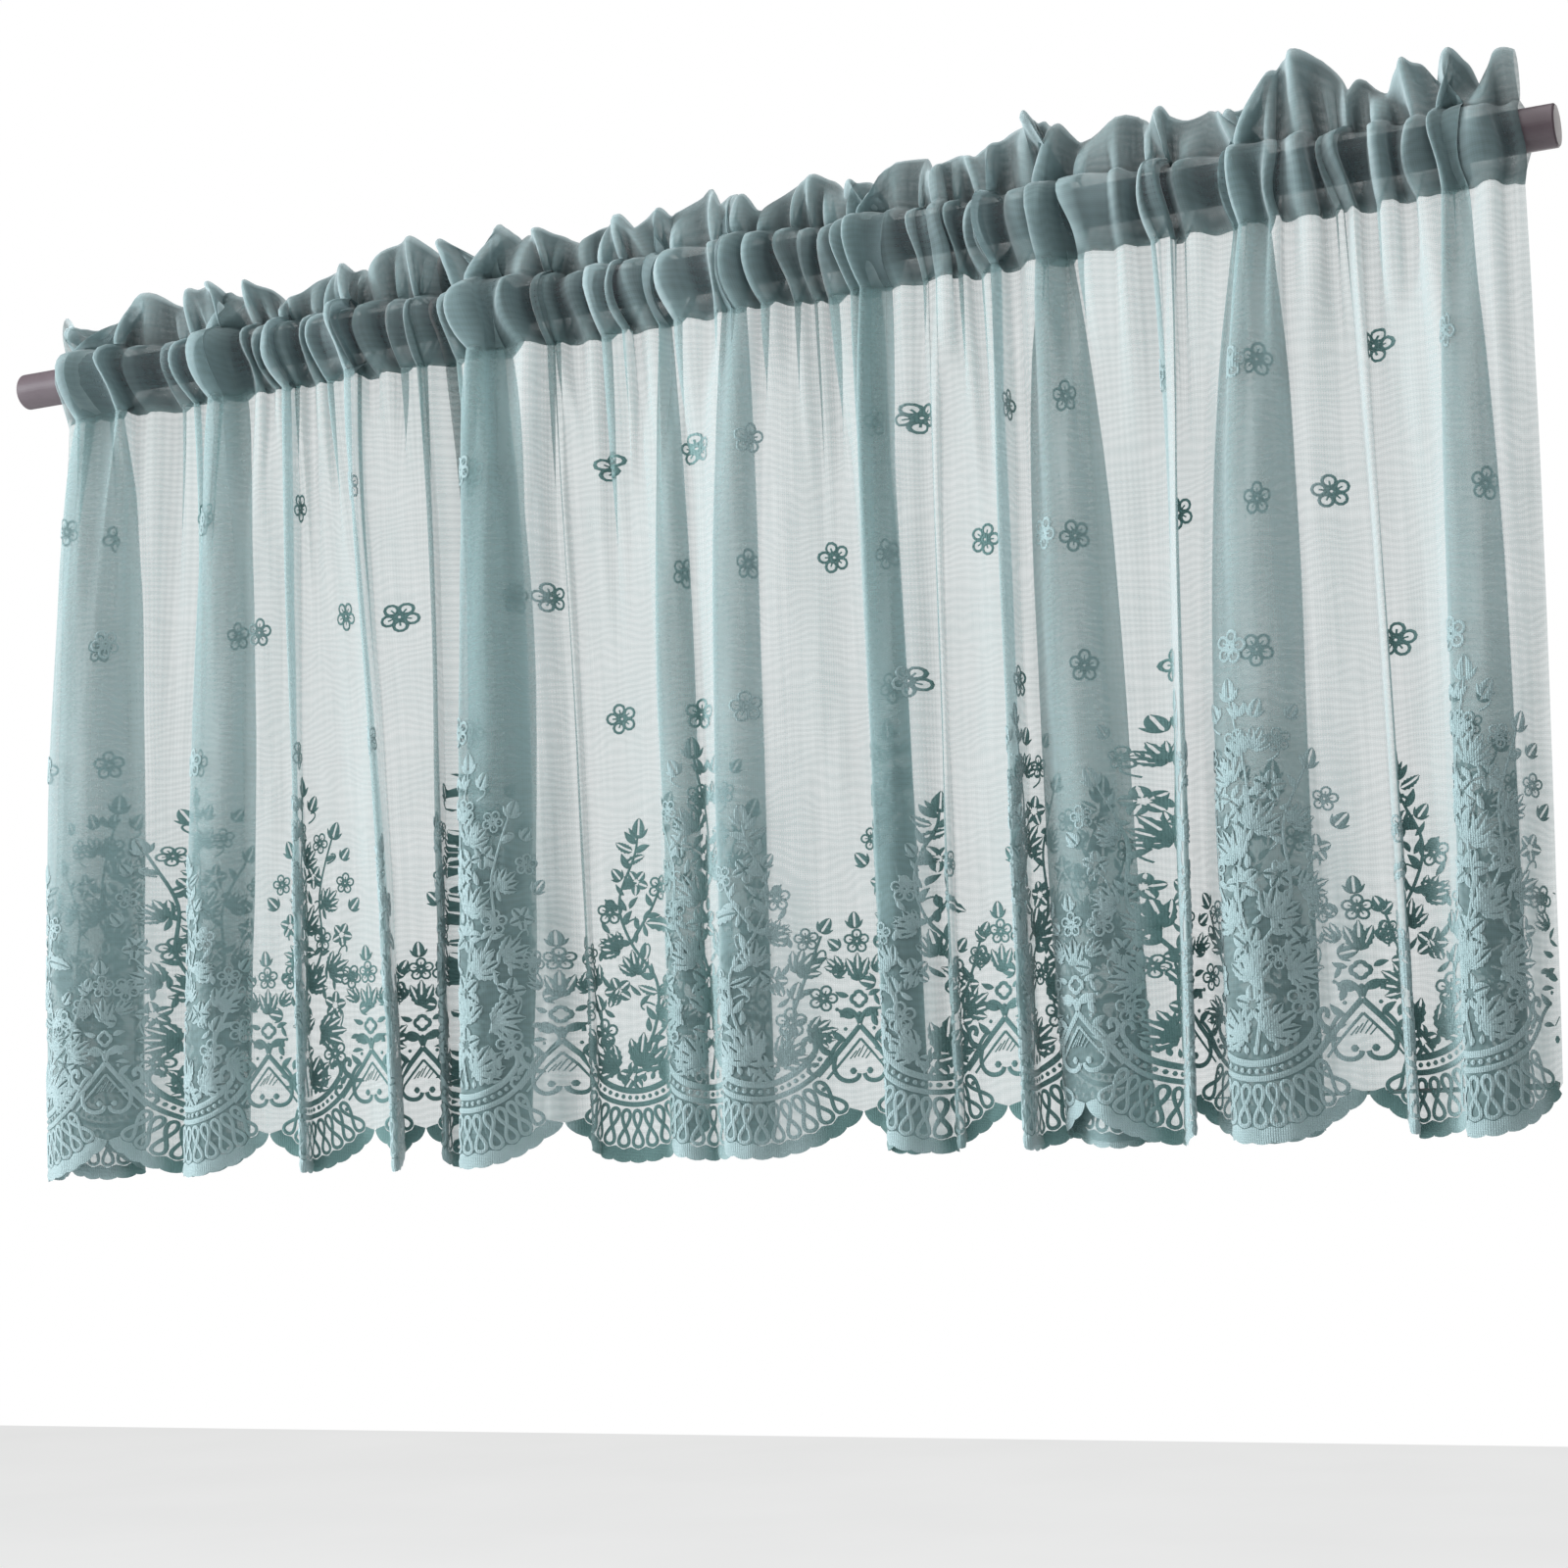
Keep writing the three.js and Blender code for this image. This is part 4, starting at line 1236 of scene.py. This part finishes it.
def area_light(name, place, size, watts, color, aim=CURTAIN_MIDDLE):
    data = bpy.data.lights.new(name, "AREA")
    data.shape = "RECTANGLE"
    data.size, data.size_y = size
    data.energy = watts
    data.color = color
    lamp = add_object(name, data)
    lamp.location = place
    direction = Vector(aim) - Vector(place)
    lamp.rotation_euler = direction.to_track_quat("-Z", "Y").to_euler()
    lamp.visible_camera = False


def set_world():
    """A white background, which lights the cloth less than it shows."""
    world = bpy.data.worlds.new("studio")
    world.use_nodes = True
    tree = world.node_tree
    tree.nodes.clear()
    seen = add_node(tree, "Background", Color=(1, 1, 1, 1), Strength=1.0)
    lit = add_node(tree, "Background", Color=(0.95, 0.98, 1, 1), Strength=0.24)
    path = add_node(tree, "LightPath")
    both = mix_shaders(tree, path.outputs["Is Camera Ray"], lit.outputs[0], seen.outputs[0])
    add_node(tree, "OutputWorld", Surface=both)
    bpy.context.scene.world = world


def make_floor():
    corners = np.array([(-1, -1), (1, -1), (1, 1), (-1, 1)]) * FLOOR_SIZE
    points = np.column_stack([corners, np.full(4, FLOOR_HEIGHT)])
    floor = mesh_object("studio_floor", points, np.array([(0, 1, 2, 3)]), floor_material())


scene = bpy.context.scene
scene.view_settings.view_transform = "Standard"
scene.cycles.transparent_max_bounces = 32
place_camera()
set_world()
area_light("left_key", (-3.7, -1.8, 0.6), (1.2, 1.8), 330.0, (0.92, 0.97, 1.0))
area_light("back_soft", (0.5, 2.0, 0.1), (3.0, 1.6), 26.0, (1.0, 0.99, 0.97))
area_light("floor_fill", (0.5, -0.6, 0.9), (2.5, 2.5), 30.0, (1.0, 1.0, 1.0),
           aim=(0.5, 0.5, FLOOR_HEIGHT))
make_floor()

# --- pieces

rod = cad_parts["rod"]
rod.data.materials.clear()
rod.data.materials.append(rod_material())

cloth = build_ground(sheer_material())
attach(cloth, "root")
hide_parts("lace_panel")
shape = shape_table()
yarn = lace_material()
bouquet_lace, sprig_lace = plant_strokes()
lace = [build_lace(name, strokes, shape, yarn) for name, strokes in (
    ("lace_border", border_strokes()), ("lace_bouquets", bouquet_lace),
    ("lace_sprigs", sprig_lace), ("lace_scattered_flowers", scattered_flowers()))]
